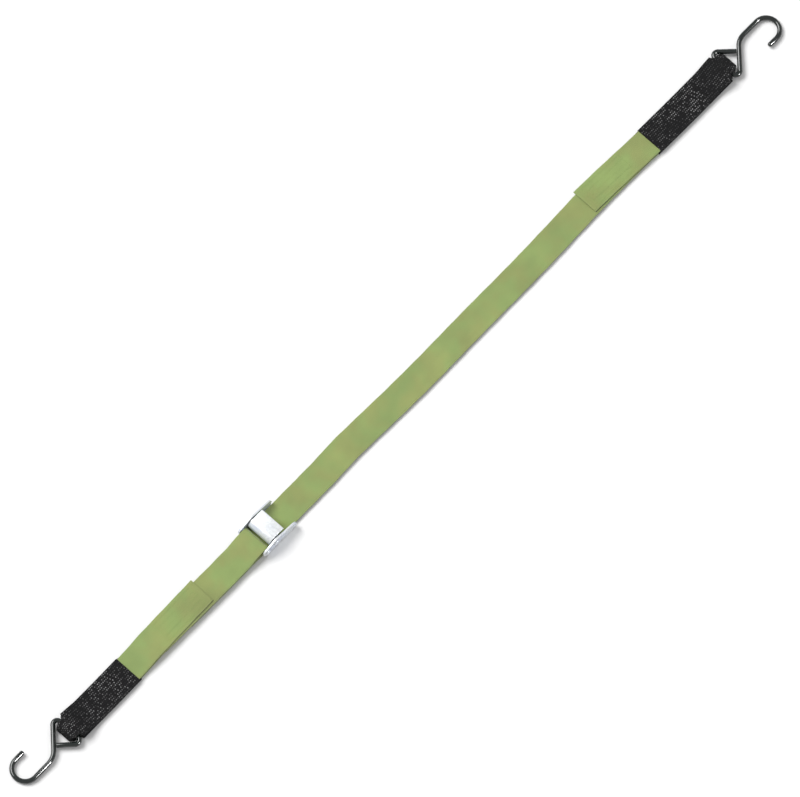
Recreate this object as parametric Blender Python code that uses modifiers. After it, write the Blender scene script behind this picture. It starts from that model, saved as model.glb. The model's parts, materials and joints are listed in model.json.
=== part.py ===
"""A cam-buckle tie-down strap: two closed-eye wire hooks, two black tubular sleeves,
a short and a long webbing strap, and a spring-loaded cam buckle that joins them.

Metres, +Z up. The strap runs along X, the upper (long) end at +X, its width along Y.
The origin is under the middle of the whole strap, on the surface that it lies on.
"""

import math

import bmesh
import bpy
from mathutils import Matrix, Vector

MM = 0.001

# ---- Driving dimensions ------------------------------------------------------------
OVERALL_LENGTH = 1381 * MM  # hook bow to hook bow, laid out straight

WEBBING_WIDTH = 38 * MM
WEBBING_THICKNESS = 1.4 * MM
LAYER_GAP = 0.3 * MM  # between two faces that touch on the real strap

SLEEVE_WALL = 0.8 * MM
SLEEVE_SIDE_ROOM = 0.6 * MM  # from the webbing's edge to the sleeve's inside
UPPER_SLEEVE_LENGTH = 148 * MM  # along its top leg, from the loop's end
LOWER_SLEEVE_LENGTH = 118 * MM
SLEEVE_LEG_OVERHANG = 3.5 * MM  # the bottom leg is this much longer than the top one
UPPER_RETURN_LENGTH = 263 * MM  # sewn-back webbing, from the loop's end
LOWER_RETURN_LENGTH = 255 * MM

WIRE_DIAMETER = 6.4 * MM
EYE_BAR_LENGTH = 29.8 * MM  # straight part of the eye's bar
EYE_CORNER_RADIUS = 5.5 * MM
EYE_ARM_ANGLE = math.radians(45)
BOW_RADIUS = 16.75 * MM
BOW_CENTRE_REACH = 73.1 * MM  # from the eye's bar
BOW_CENTRE_OFFSET = 5.3 * MM  # towards the tip's side
BOW_TIP_LENGTH = 14 * MM
SHANK_BEND_RADIUS = 24 * MM
EYE_CLOSING_GAP = 0.3 * MM
LOOP_CLEARANCE = 0.5 * MM  # from the eye's bar to the sleeve around it
LOOP_SLACK = 4 * MM  # how far the loop's end hangs past a tight wrap
LOOP_SIDE_ROOM = 0.6 * MM  # from the narrowed sleeve to the eye's arms
BAR_SIDE_ROOM = 0.1 * MM  # from the narrowed sleeve to the bar's ends
SLEEVE_TAPER = 3.5  # how fast the sleeve widens behind the bar
LOOP_CLOSING = 32 * MM  # over this length behind the bar the loop's legs come together
SLEEVE_LEAD = 30 * MM  # over this length the webbing steps down into the sleeve
MOUTH_STRAIGHT = 4 * MM  # webbing lies level over this length before the sleeve
FLOOR_CLEARANCE = 0.2 * MM

BUCKLE_DISTANCE = 339.8 * MM  # from the lower loop's end to the buckle frame's end
FRAME_LENGTH = 59 * MM
FRAME_SHEET = 2.4 * MM
FRAME_BEND_RADIUS = 1.2 * MM  # inside the bend
FRAME_SIDE_ROOM = 1.0 * MM  # from the webbing's edge to the ear
BASE_REAR = 15 * MM  # the base plate's two ends, from the frame's end
BASE_FRONT = 51 * MM
EAR_NOSE_RADIUS = 8.5 * MM
EAR_ANCHOR_RADIUS = 7 * MM
EAR_CAM_RADIUS = 9 * MM

PIN_DIAMETER = 6 * MM
PIN_CLEARANCE = 0.3 * MM
PIN_HEAD_RADIUS = 4.5 * MM
PIN_HEAD_HEIGHT = 1.1 * MM
ANCHOR_PIN_REACH = 7 * MM  # from the frame's end
CAM_PIN_REACH = 23 * MM
CAM_PIN_HEIGHT = 13.5 * MM

CAM_WIDTH = 36 * MM
CAM_DRUM_RADIUS = 9 * MM
CAM_HUB_RADIUS = 8 * MM
CAM_HUB_START = math.radians(22)  # from straight down, towards the lever
CAM_HUB_END = math.radians(36)  # above level
CAM_ROOT_FILLET = 2 * MM  # between the hub and the lever's underside
CAM_TOOTH_PITCH = math.radians(8)
CAM_TOOTH_COUNT = 6
CAM_TOOTH_DEPTH = 1.0 * MM
CAM_TOOTH_START = math.radians(-12)  # from straight down, towards the short strap
CAM_TOOTH_RISE = 1.1 * MM  # growth of the toothed radius over the last tooth
CAM_CLEARANCE = 0.45 * MM  # from the teeth to the clamped webbing
LEVER_LENGTH = 17 * MM  # from the cam pin to the thumb edge
LEVER_THICKNESS = 3 * MM

SPRING_WIRE = 1.0 * MM
SPRING_TURNS = 3
SPRING_PITCH = 1.1 * MM
SPRING_COIL_RADIUS = 4.5 * MM
SPRING_POCKET_RADIUS = 6.0 * MM
SPRING_POCKET_DEPTH = 4.2 * MM
SPRING_LEG_REACH = 7.4 * MM
SPRING_LEG_ANGLE = math.radians(125)
SPRING_HOLE_RADIUS = 0.85 * MM
SPRING_SEAT_DEPTH = 2.5 * MM  # of the leg's hole in the pocket's floor

TAIL_LENGTH = 150 * MM  # webbing past the cam, under the short strap
TAIL_ROOM = 1.1 * MM  # from the tail to the short strap above it
BUCKLE_RETURN_LENGTH = 180 * MM  # sewn-back webbing, from the anchor pin

ANCHOR_FALL = 34 * MM  # over this length the short strap comes down from its anchor pin
FINE_STEP = 4 * MM  # between stations where a route bends
COARSE_STEP = 30 * MM  # between stations where it runs straight

THREAD_DIAMETER = 0.5 * MM
SEAM_ROWS = 5
SEAM_WIDTH = 28 * MM
SEAM_LENGTH = 66 * MM
SEAM_MARGIN = 9 * MM  # from the cut end to the seam
TACK_LENGTH = 4.5 * MM
TACK_WIDTH = 24 * MM
TACK_ROWS = 13
TACK_BEHIND_BAR = 44 * MM

# ---- Sizes that follow from them ---------------------------------------------------
WIRE_RADIUS = WIRE_DIAMETER / 2
PIN_RADIUS = PIN_DIAMETER / 2
HALF_WEBBING = WEBBING_WIDTH / 2
LAYER_PITCH = WEBBING_THICKNESS + LAYER_GAP
FRAME_INNER_WIDTH = WEBBING_WIDTH + 2 * FRAME_SIDE_ROOM
FRAME_HALF_WIDTH = FRAME_INNER_WIDTH / 2 + FRAME_SHEET

SLEEVE_HALF_WIDTH = HALF_WEBBING + SLEEVE_SIDE_ROOM + SLEEVE_WALL
SLEEVE_HALF_HEIGHT = WEBBING_THICKNESS / 2 + LAYER_GAP + SLEEVE_WALL
SLEEVE_LEG_PITCH = 2 * SLEEVE_HALF_HEIGHT + LAYER_GAP

# Heights of the middle of each layer.
SLEEVE_LEG_Z = SLEEVE_HALF_HEIGHT
LONG_STRAP_Z = FRAME_SHEET + LAYER_GAP + WEBBING_THICKNESS / 2
BUCKLE_RETURN_Z = LONG_STRAP_Z + WEBBING_THICKNESS + TAIL_ROOM
LOOP_RADIUS = WIRE_RADIUS + LOOP_CLEARANCE + SLEEVE_HALF_HEIGHT
BAR_Z = SLEEVE_LEG_Z + LOOP_RADIUS
LOOP_END = LOOP_SLACK + LOOP_RADIUS + SLEEVE_HALF_HEIGHT  # past the bar's axis
ANCHOR_LOOP_RADIUS = PIN_RADIUS + LAYER_GAP + WEBBING_THICKNESS / 2

BOW_FAR_REACH = BOW_CENTRE_REACH + BOW_RADIUS
HOOK_PITCH = math.asin((BAR_Z - WIRE_RADIUS - FLOOR_CLEARANCE) / BOW_FAR_REACH)
BAR_X = OVERALL_LENGTH / 2 - BOW_FAR_REACH * math.cos(HOOK_PITCH) - WIRE_RADIUS
FRAME_END_X = BUCKLE_DISTANCE - BAR_X - LOOP_END

ANCHOR_PIN = Vector((FRAME_END_X + ANCHOR_PIN_REACH, 0, BUCKLE_RETURN_Z + ANCHOR_LOOP_RADIUS))
CAM_PIN = Vector((FRAME_END_X + CAM_PIN_REACH, 0, CAM_PIN_HEIGHT))
CAM_CONTACT_RADIUS = CAM_PIN_HEIGHT - LONG_STRAP_Z - WEBBING_THICKNESS / 2 - CAM_CLEARANCE

GREEN = (0.34, 0.43, 0.14, 1)
BLACK = (0.025, 0.026, 0.027, 1)
COATED_STEEL = (0.10, 0.12, 0.12, 1)
ZINC = (0.72, 0.74, 0.75, 1)
SPRING_STEEL = (0.45, 0.45, 0.46, 1)


# ---- Scene helpers -----------------------------------------------------------------
def clear_scene():
    for obj in list(bpy.data.objects):
        bpy.data.objects.remove(obj)


def new_collection(name):
    collection = bpy.data.collections.new(name)
    bpy.context.scene.collection.children.link(collection)
    return collection


def new_material(name, colour, roughness, metallic):
    made = bpy.data.materials.new(name)
    made.use_nodes = True
    shader = made.node_tree.nodes["Principled BSDF"]
    shader.inputs["Base Color"].default_value = colour
    shader.inputs["Roughness"].default_value = roughness
    shader.inputs["Metallic"].default_value = metallic
    return made


def add_object(name, data, collection):
    obj = bpy.data.objects.new(name, data)
    collection.objects.link(obj)
    return obj


def add_modifier(obj, name, kind, **settings):
    made = obj.modifiers.new(name, kind)
    for key, value in settings.items():
        setattr(made, key, value)


def mesh_object(name, build, collection, *arguments):
    """A mesh object whose shape build(bm, *arguments) makes."""
    bm = bmesh.new()
    build(bm, *arguments)
    mesh = bpy.data.meshes.new(name)
    bm.to_mesh(mesh)
    bm.free()
    return add_object(name, mesh, collection)


def curve_as_mesh(obj):
    """Turns a filled curve object into a closed mesh object of the same name and place."""
    bpy.context.view_layer.update()
    graph = bpy.context.evaluated_depsgraph_get()
    mesh = bpy.data.meshes.new_from_object(obj.evaluated_get(graph))
    bm = bmesh.new()
    bm.from_mesh(mesh)
    bmesh.ops.remove_doubles(bm, verts=bm.verts, dist=1e-6)
    bmesh.ops.recalc_face_normals(bm, faces=bm.faces)
    bm.to_mesh(mesh)
    bm.free()
    name, place, collection = obj.name, obj.matrix_world.copy(), obj.users_collection[0]
    bpy.data.objects.remove(obj)
    made = add_object(name, mesh, collection)
    made.matrix_world = place
    return made


def finish(obj, material, pivot=None, angle=35):
    """Gives a node its material and shading, and moves its origin to the joint's axis."""
    obj.data.materials.clear()
    obj.data.materials.append(material)
    if obj.type == "MESH":
        obj.data.shade_smooth()
        obj.data.set_sharp_from_angle(angle=math.radians(angle))
    if pivot is not None:
        obj.data.transform(Matrix.Translation(obj.location - pivot))
        obj.location = pivot


def as_cutter(obj, cutters):
    for collection in list(obj.users_collection):
        collection.objects.unlink(obj)
    cutters.objects.link(obj)
    obj.hide_render = True
    obj.display_type = "WIRE"
    return obj


def boolean(obj, other, operation):
    add_modifier(obj, other.name, "BOOLEAN", operation=operation, object=other, solver="EXACT")


# ---- Shape helpers -----------------------------------------------------------------
def arc(centre, radius, start, end, steps):
    """Points on an arc in a plane, from the start angle to the end angle."""
    angles = [start + (end - start) * i / steps for i in range(steps + 1)]
    return [(centre[0] + radius * math.cos(a), centre[1] + radius * math.sin(a)) for a in angles]


def hull(points):
    """The convex outline round a set of points."""

    def half(ordered):
        chain = []
        for p in ordered:
            while len(chain) > 1:
                (ax, ay), (bx, by) = chain[-2:]
                if (bx - ax) * (p[1] - ay) - (by - ay) * (p[0] - ax) > 0:
                    break
                chain.pop()
            chain.append(p)
        return chain[:-1]

    ordered = sorted(set(points))
    return half(ordered) + half(ordered[::-1])


def plate(name, outlines, thickness, collection):
    """A flat outline in XZ, the first one's holes following it, as a mesh across Y."""
    data = bpy.data.curves.new(name, "CURVE")
    data.dimensions = "2D"
    data.fill_mode = "BOTH"
    data.extrude = thickness / 2
    for outline in outlines:
        spline = data.splines.new("POLY")
        spline.points.add(len(outline) - 1)
        for point, (x, z) in zip(spline.points, outline):
            point.co = (x, z, 0, 1)
        spline.use_cyclic_u = True
    obj = add_object(name, data, collection)
    obj.rotation_euler = (math.radians(90), 0, 0)
    made = curve_as_mesh(obj)
    made.data.transform(made.matrix_world)
    made.matrix_world = Matrix.Identity(4)
    return made


def wire(name, points, radius, resolution, collection):
    """A round wire along a chain of points."""
    data = bpy.data.curves.new(name, "CURVE")
    data.dimensions = "3D"
    data.bevel_depth = radius
    data.bevel_resolution = resolution
    data.use_fill_caps = True
    spline = data.splines.new("POLY")
    spline.points.add(len(points) - 1)
    for point, place in zip(spline.points, points):
        point.co = (*place, 1)
    return curve_as_mesh(add_object(name, data, collection))


def cross_bar(name, radius, length, place, cutters, sides=32):
    """A cylinder across Y that cuts a round hole."""

    def build(bm):
        turn = Matrix.Rotation(math.radians(90), 4, "X")
        bmesh.ops.create_cone(
            bm, cap_ends=True, segments=sides, radius1=radius, radius2=radius, depth=length,
            matrix=Matrix.Translation(place) @ turn,
        )

    return as_cutter(mesh_object(name, build, cutters), cutters)


def ribbon(name, stations, collection):
    """Webbing along stations of (x, z, half width), as an open sheet with Solidify."""

    def build(bm):
        near = [bm.verts.new((x, -half, z)) for x, z, half in stations]
        edges = [bm.edges.new(pair) for pair in zip(near, near[1:])]
        made = bmesh.ops.extrude_edge_only(bm, edges=edges)["geom"]
        far = [item for item in made if isinstance(item, bmesh.types.BMVert)]
        for vert in far:
            vert.co.y = -vert.co.y
        bmesh.ops.recalc_face_normals(bm, faces=bm.faces)

    obj = mesh_object(name, build, collection)
    add_modifier(
        obj, "Thickness", "SOLIDIFY", thickness=WEBBING_THICKNESS, offset=0, use_even_offset=True
    )
    return obj


def sleeve_ring(half_width, half_height):
    """A flat tube's section as (across, up), going round it once."""
    corner = half_height / 2
    side = half_width - corner
    right = [(side, -half_height), (half_width, -corner), (half_width, corner), (side, half_height)]
    return right + [(-y, -n) for y, n in right]


def flat_tube(name, stations, collection):
    """A tubular sleeve along stations of (x, z, half width), open at both ends."""
    inner = WEBBING_THICKNESS / 2 + LAYER_GAP

    def build(bm):
        rings = []
        for i, (x, z, half) in enumerate(stations):
            before, after = stations[max(i - 1, 0)], stations[min(i + 1, len(stations) - 1)]
            along = Vector((after[0] - before[0], after[1] - before[1])).normalized()
            up = Vector((-along.y, along.x))
            ring = [
                bm.verts.new((x + up.x * n, y, z + up.y * n))
                for y, n in sleeve_ring(half - SLEEVE_WALL, inner)
            ]
            edges = [bm.edges.new((a, b)) for a, b in zip(ring, ring[1:] + ring[:1])]
            rings.append(edges)
        for first, second in zip(rings, rings[1:]):
            bmesh.ops.bridge_loops(bm, edges=first + second)
        bmesh.ops.recalc_face_normals(bm, faces=bm.faces)

    obj = mesh_object(name, build, collection)
    add_modifier(
        obj, "Wall", "SOLIDIFY", thickness=SLEEVE_WALL, offset=1, use_even_offset=True
    )
    return obj


def turned_pin(name, place, collection):
    """A rivet across the frame, with a domed head outside each ear."""
    shoulder = FRAME_HALF_WIDTH + PIN_CLEARANCE
    top = shoulder + PIN_HEAD_HEIGHT
    dome_start = PIN_HEAD_RADIUS - PIN_HEAD_HEIGHT
    dome = arc((dome_start, shoulder), PIN_HEAD_HEIGHT, math.pi / 2, 0, 4)
    head = [(0, top)] + dome + [(PIN_RADIUS, shoulder)]
    profile = head + [(r, -z) for r, z in reversed(head)]

    def build(bm):
        verts = [bm.verts.new((r, 0, z)) for r, z in profile]
        for pair in zip(verts, verts[1:]):
            bm.edges.new(pair)

    obj = mesh_object(name, build, collection)
    add_modifier(
        obj, "Turn", "SCREW", steps=32, render_steps=32, use_merge_vertices=True, merge_threshold=1e-5
    )
    obj.rotation_euler = (math.radians(90), 0, 0)
    obj.location = place
    return obj


# ---- Webbing routes ----------------------------------------------------------------
def ease(x, start, end, low, high):
    """A smooth step in height from low at start to high at end."""
    t = min(max((x - start) / (end - start), 0), 1)
    return low + (high - low) * t * t * (3 - 2 * t)


def spread(start, end, step):
    """Places from start up to, and not counting, end, about a step apart."""
    count = max(round(abs(end - start) / step), 1)
    return [start + (end - start) * i / count for i in range(count)]


def crossing_reach():
    """Where the eye's two arms would meet, past the bar."""
    turned = EYE_CORNER_RADIUS * math.sin(EYE_ARM_ANGLE)
    side = EYE_BAR_LENGTH / 2 + EYE_CORNER_RADIUS * math.cos(EYE_ARM_ANGLE)
    return EYE_CORNER_RADIUS + turned + side / math.tan(EYE_ARM_ANGLE)


def sleeve_half_width(reach):
    """Half the sleeve's width by its reach past the bar, narrow enough to pass the eye."""
    at_bar = EYE_BAR_LENGTH / 2 - BAR_SIDE_ROOM
    behind_bar = -reach - WIRE_RADIUS - LOOP_CLEARANCE
    if behind_bar > 0:
        return min(SLEEVE_HALF_WIDTH, at_bar + SLEEVE_TAPER * behind_bar)
    turn = math.asin(min(max((reach - LOOP_SLACK) / LOOP_RADIUS, 0), 1))
    outside = LOOP_RADIUS + SLEEVE_HALF_HEIGHT
    slack = min(reach, LOOP_SLACK)
    from_bar = math.hypot(slack + outside * math.sin(turn), outside * math.cos(turn))
    gap = (crossing_reach() - from_bar) * math.tan(EYE_ARM_ANGLE) - WIRE_RADIUS / math.cos(EYE_ARM_ANGLE)
    return min(at_bar, gap - LOOP_SIDE_ROOM)


def webbing_half_width(reach):
    return min(HALF_WEBBING, sleeve_half_width(reach) - SLEEVE_WALL - SLEEVE_SIDE_ROOM)


def top_leg_z(reach):
    """Height of the loop's top leg, which comes down onto the bottom leg behind the bar."""
    high, low = BAR_Z + LOOP_RADIUS, SLEEVE_LEG_Z + SLEEVE_LEG_PITCH
    return ease(-reach, WIRE_RADIUS, WIRE_RADIUS + LOOP_CLOSING, high, low)


def loop_stations(bottom_mouth, top_mouth, half_width):
    """The stretch round the eye's bar, from one reach on the bottom leg to one on the top."""
    closed = -WIRE_RADIUS - LOOP_CLOSING
    near = spread(closed, LOOP_SLACK, FINE_STEP)
    bottom = [(u, SLEEVE_LEG_Z) for u in spread(bottom_mouth, closed, COARSE_STEP) + near]
    bend = arc((LOOP_SLACK, BAR_Z), LOOP_RADIUS, -math.pi / 2, math.pi / 2, 12)
    top = [(u, top_leg_z(u)) for u in spread(top_mouth, closed, COARSE_STEP) + near]
    return [(u, z, half_width(u)) for u, z in bottom + bend + top[::-1]]


def at_hook(stations, side):
    """Stations by reach past a bar, turned into places along X. Side is 1 or -1."""
    return [(side * (BAR_X + u), z, half) for u, z, half in stations]


def leg_heights(low, start, mouth):
    """Heights of a strap's two layers, one on the other, as they step into the sleeve."""
    end = mouth - MOUTH_STRAIGHT

    def main(u):
        return ease(u, start, end, low, SLEEVE_LEG_Z)

    def back(u):
        return ease(u, start, end, low + LAYER_PITCH, SLEEVE_LEG_Z + SLEEVE_LEG_PITCH)

    return main, back


def full_width(points):
    return [(u, z, HALF_WEBBING) for u, z in points]


def long_strap_stations():
    """From the tail's end, through the buckle, round the upper bar and back."""
    tail_end = CAM_PIN.x - TAIL_LENGTH - BAR_X
    mouth = LOOP_END - UPPER_SLEEVE_LENGTH - SLEEVE_LEG_OVERHANG
    return_end = LOOP_END - UPPER_RETURN_LENGTH
    step = mouth - MOUTH_STRAIGHT - SLEEVE_LEAD
    main_z, back_z = leg_heights(LONG_STRAP_Z, step, mouth)

    ramp = spread(step, mouth, FINE_STEP)
    main = [(u, main_z(u)) for u in spread(tail_end, step, 2 * COARSE_STEP) + ramp]
    back = [(u, back_z(u)) for u in spread(return_end, step, COARSE_STEP) + ramp]
    loop = loop_stations(mouth, mouth, webbing_half_width)
    return at_hook(full_width(main) + loop + full_width(back[::-1]), 1)


def short_strap_stations():
    """From the end under the seam, round the anchor pin, round the lower bar and back."""
    mouth = LOOP_END - LOWER_SLEEVE_LENGTH - SLEEVE_LEG_OVERHANG
    return_end = LOOP_END - LOWER_RETURN_LENGTH
    anchor = -ANCHOR_PIN.x - BAR_X  # reach of the anchor pin
    under_end = anchor + BUCKLE_RETURN_LENGTH
    step = under_end + MOUTH_STRAIGHT
    high = BUCKLE_RETURN_Z + LAYER_PITCH
    main_z, back_z = leg_heights(high, step, mouth)
    landed = anchor + PIN_RADIUS + ANCHOR_FALL

    def over_pin(u):
        return ease(u, anchor + PIN_RADIUS, landed, ANCHOR_PIN.z + ANCHOR_LOOP_RADIUS, high)

    under = [(u, BUCKLE_RETURN_Z) for u in spread(under_end, landed, COARSE_STEP)]
    under += [(u, BUCKLE_RETURN_Z) for u in spread(landed, anchor, FINE_STEP)]
    bend = arc((anchor, ANCHOR_PIN.z), ANCHOR_LOOP_RADIUS, -math.pi / 2, -3 * math.pi / 2, 12)
    main = [(u, over_pin(u)) for u in spread(anchor + PIN_RADIUS, landed, FINE_STEP)]
    ramp = spread(step, mouth, FINE_STEP)
    main += [(u, main_z(u)) for u in spread(landed, step, COARSE_STEP) + ramp]
    back = [(u, back_z(u)) for u in spread(return_end, step, COARSE_STEP) + ramp]
    loop = loop_stations(mouth, mouth, webbing_half_width)
    return at_hook(full_width(under + bend + main) + loop + full_width(back[::-1]), -1)


def sleeve_stations(length, side):
    mouth = LOOP_END - length
    return at_hook(loop_stations(mouth - SLEEVE_LEG_OVERHANG, mouth, sleeve_half_width), side)


# ---- Hooks -------------------------------------------------------------------------
def hook_route():
    """The wire's middle as (reach, across), from the eye's closed end to the hook's tip."""
    half_bar = EYE_BAR_LENGTH / 2
    turn = math.pi / 2 + EYE_ARM_ANGLE
    corner = (EYE_CORNER_RADIUS, half_bar)
    tip_corner = arc(corner, EYE_CORNER_RADIUS, math.pi, math.pi - turn, 9)
    shank_corner = [(u, -v) for u, v in reversed(tip_corner)]
    crossing = crossing_reach()
    back_off = WIRE_DIAMETER / 2 + EYE_CLOSING_GAP
    arm_end = (crossing - back_off * math.cos(EYE_ARM_ANGLE), -back_off * math.sin(EYE_ARM_ANGLE))

    run = BOW_CENTRE_OFFSET - BOW_RADIUS  # the shank's straight run, across
    tangent = SHANK_BEND_RADIUS * math.tan(EYE_ARM_ANGLE / 2)
    elbow = crossing - run / math.tan(EYE_ARM_ANGLE)
    bend_centre = (elbow + tangent, run + SHANK_BEND_RADIUS)
    start = -math.pi / 2 - EYE_ARM_ANGLE
    bend = arc(bend_centre, SHANK_BEND_RADIUS, start, -math.pi / 2, 7)
    bow_centre = (BOW_CENTRE_REACH, BOW_CENTRE_OFFSET)
    bow = arc(bow_centre, BOW_RADIUS, -math.pi / 2, math.pi / 2, 20)
    tip = (BOW_CENTRE_REACH - BOW_TIP_LENGTH, BOW_CENTRE_OFFSET + BOW_RADIUS)
    return [arm_end] + shank_corner + tip_corner + bend + bow + [tip]


def make_hook(name, side, material, collection):
    points = [(u, -v, 0) for u, v in hook_route()]
    obj = wire(name, points, WIRE_RADIUS, 6, collection)
    obj.location = (side * BAR_X, 0, BAR_Z)
    obj.rotation_euler = (0, HOOK_PITCH, 0 if side > 0 else math.pi)
    finish(obj, material)
    return obj


# ---- Buckle ------------------------------------------------------------------------
def u_channel(bm):
    """The frame's bent sheet as an open strip across Y, drawn out along X."""
    middle = FRAME_INNER_WIDTH / 2 + FRAME_SHEET / 2
    bend = FRAME_BEND_RADIUS + FRAME_SHEET / 2
    floor = FRAME_SHEET / 2
    top = CAM_PIN_HEIGHT + EAR_CAM_RADIUS + FRAME_SHEET
    right = arc((middle - bend, floor + bend), bend, -math.pi / 2, 0, 5) + [(middle, top)]
    section = [(-y, z) for y, z in reversed(right)] + right
    margin = FRAME_SHEET
    verts = [bm.verts.new((FRAME_END_X - margin, y, z)) for y, z in section]
    edges = [bm.edges.new(pair) for pair in zip(verts, verts[1:])]
    made = bmesh.ops.extrude_edge_only(bm, edges=edges)["geom"]
    far = [item for item in made if isinstance(item, bmesh.types.BMVert)]
    bmesh.ops.translate(bm, verts=far, vec=(FRAME_LENGTH + 2 * margin, 0, 0))
    bmesh.ops.recalc_face_normals(bm, faces=bm.faces)


def ear_outline():
    """The ear's side view: a hull round the anchor pin, the cam pin and the nose."""
    nose = (FRAME_END_X + FRAME_LENGTH - EAR_NOSE_RADIUS, EAR_NOSE_RADIUS)
    circles = [
        ((ANCHOR_PIN.x, ANCHOR_PIN.z), EAR_ANCHOR_RADIUS),
        ((CAM_PIN.x, CAM_PIN.z), EAR_CAM_RADIUS),
        (nose, EAR_NOSE_RADIUS),
    ]
    points = [(FRAME_END_X + BASE_REAR - FRAME_SHEET, 0)]
    for centre, radius in circles:
        points += arc(centre, radius, 0, 2 * math.pi, 48)[:-1]
    return hull(points)


def box_cutter(name, low, high, cutters):
    """A box between two corners, as a cutter."""
    size, middle = Vector(high) - Vector(low), (Vector(high) + Vector(low)) / 2

    def build(bm):
        bmesh.ops.create_cube(bm, size=1, matrix=Matrix.Translation(middle) @ Matrix.Diagonal((*size, 1)))

    return as_cutter(mesh_object(name, build, cutters), cutters)


def spring_hole_places(side):
    """Where a spring's fixed leg enters the ear."""
    angle = SPRING_LEG_ANGLE
    offset = Vector((SPRING_LEG_REACH * math.cos(angle), 0, SPRING_LEG_REACH * math.sin(angle)))
    return CAM_PIN + offset + Vector((0, side * FRAME_HALF_WIDTH, 0))


def make_frame(material, collection, cutters):
    frame = mesh_object("buckle_frame", u_channel, collection)
    add_modifier(
        frame, "Sheet", "SOLIDIFY", thickness=FRAME_SHEET, offset=0, use_even_offset=True
    )
    side_view = plate("ear_side_view", [ear_outline()], 4 * FRAME_HALF_WIDTH, cutters)
    boolean(frame, as_cutter(side_view, cutters), "INTERSECT")

    clear = FRAME_INNER_WIDTH / 2 - FRAME_BEND_RADIUS
    above, below = LONG_STRAP_Z, -FRAME_SHEET
    ends = {
        "rear_slot": (-FRAME_SHEET, BASE_REAR),
        "front_slot": (BASE_FRONT, FRAME_LENGTH + FRAME_SHEET),
    }
    for name, (start, end) in ends.items():
        low = (FRAME_END_X + start, -clear, below)
        high = (FRAME_END_X + end, clear, above)
        boolean(frame, box_cutter(name, low, high, cutters), "DIFFERENCE")

    hole = PIN_RADIUS + PIN_CLEARANCE
    width = 3 * FRAME_HALF_WIDTH
    boolean(frame, cross_bar("anchor_hole", hole, width, ANCHOR_PIN, cutters), "DIFFERENCE")
    boolean(frame, cross_bar("cam_hole", hole, width, CAM_PIN, cutters), "DIFFERENCE")
    for name, side in {"left_spring_hole": -1, "right_spring_hole": 1}.items():
        place = spring_hole_places(side)
        hole = cross_bar(name, SPRING_HOLE_RADIUS, 4 * FRAME_SHEET, place, cutters, 12)
        boolean(frame, hole, "DIFFERENCE")
    finish(frame, material)
    return frame


def tooth_radius(angle):
    """The toothed face grows away from the pin, so that a pull on the strap tightens it."""
    span = (CAM_TOOTH_COUNT - 1) * CAM_TOOTH_PITCH + CAM_TOOTH_START
    return CAM_CONTACT_RADIUS + CAM_TOOTH_RISE * angle / span


def cam_outline():
    """The cam and its lever in side view, about the cam pin."""
    top = CAM_DRUM_RADIUS
    under = top - LEVER_THICKNESS
    rounding = LEVER_THICKNESS / 2

    def below(angle, radius):  # an angle from straight down, towards the short strap
        return (-radius * math.sin(angle), -radius * math.cos(angle))

    tip = arc((LEVER_LENGTH - rounding, top - rounding), rounding, -math.pi / 2, math.pi / 2, 8)
    teeth = []
    for i in range(CAM_TOOTH_COUNT):
        angle = CAM_TOOTH_START + i * CAM_TOOTH_PITCH
        valley = angle - CAM_TOOTH_PITCH / 2
        teeth.append(below(valley, tooth_radius(valley) - CAM_TOOTH_DEPTH))
        teeth.append(below(angle, tooth_radius(angle)))
    last = CAM_TOOTH_START + (CAM_TOOTH_COUNT - 0.5) * CAM_TOOTH_PITCH
    back = arc((0, 0), CAM_DRUM_RADIUS, math.pi / 2, 3 * math.pi / 2 - last, 16)
    hub = arc((0, 0), CAM_HUB_RADIUS, CAM_HUB_START - math.pi / 2, CAM_HUB_END, 12)
    root_centre = (hub[-1][0] + CAM_ROOT_FILLET, under - CAM_ROOT_FILLET)
    root = arc(root_centre, CAM_ROOT_FILLET, math.radians(150), math.pi / 2, 3)
    return tip + back + teeth[::-1] + hub + root


def make_cam(material, collection, cutters):
    outline = [(CAM_PIN.x + x, CAM_PIN.z + z) for x, z in cam_outline()]
    bore = arc((CAM_PIN.x, CAM_PIN.z), PIN_RADIUS + PIN_CLEARANCE, 0, 2 * math.pi, 32)[:-1]
    cam = plate("cam_lever", [outline, bore], CAM_WIDTH, collection)
    for name, side in {"left_spring": -1, "right_spring": 1}.items():
        face = CAM_PIN + Vector((0, side * CAM_WIDTH / 2, 0))
        pocket = cross_bar(name + "_pocket", SPRING_POCKET_RADIUS, 2 * SPRING_POCKET_DEPTH, face, cutters)
        boolean(cam, pocket, "DIFFERENCE")
        floor = face - Vector((0, side * SPRING_POCKET_DEPTH, 0)) + Vector((0, 0, -SPRING_COIL_RADIUS))
        seat = cross_bar(name + "_seat", SPRING_HOLE_RADIUS, 2 * SPRING_SEAT_DEPTH, floor, cutters, 12)
        boolean(cam, seat, "DIFFERENCE")
    finish(cam, material, CAM_PIN, 25)
    return cam


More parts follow.
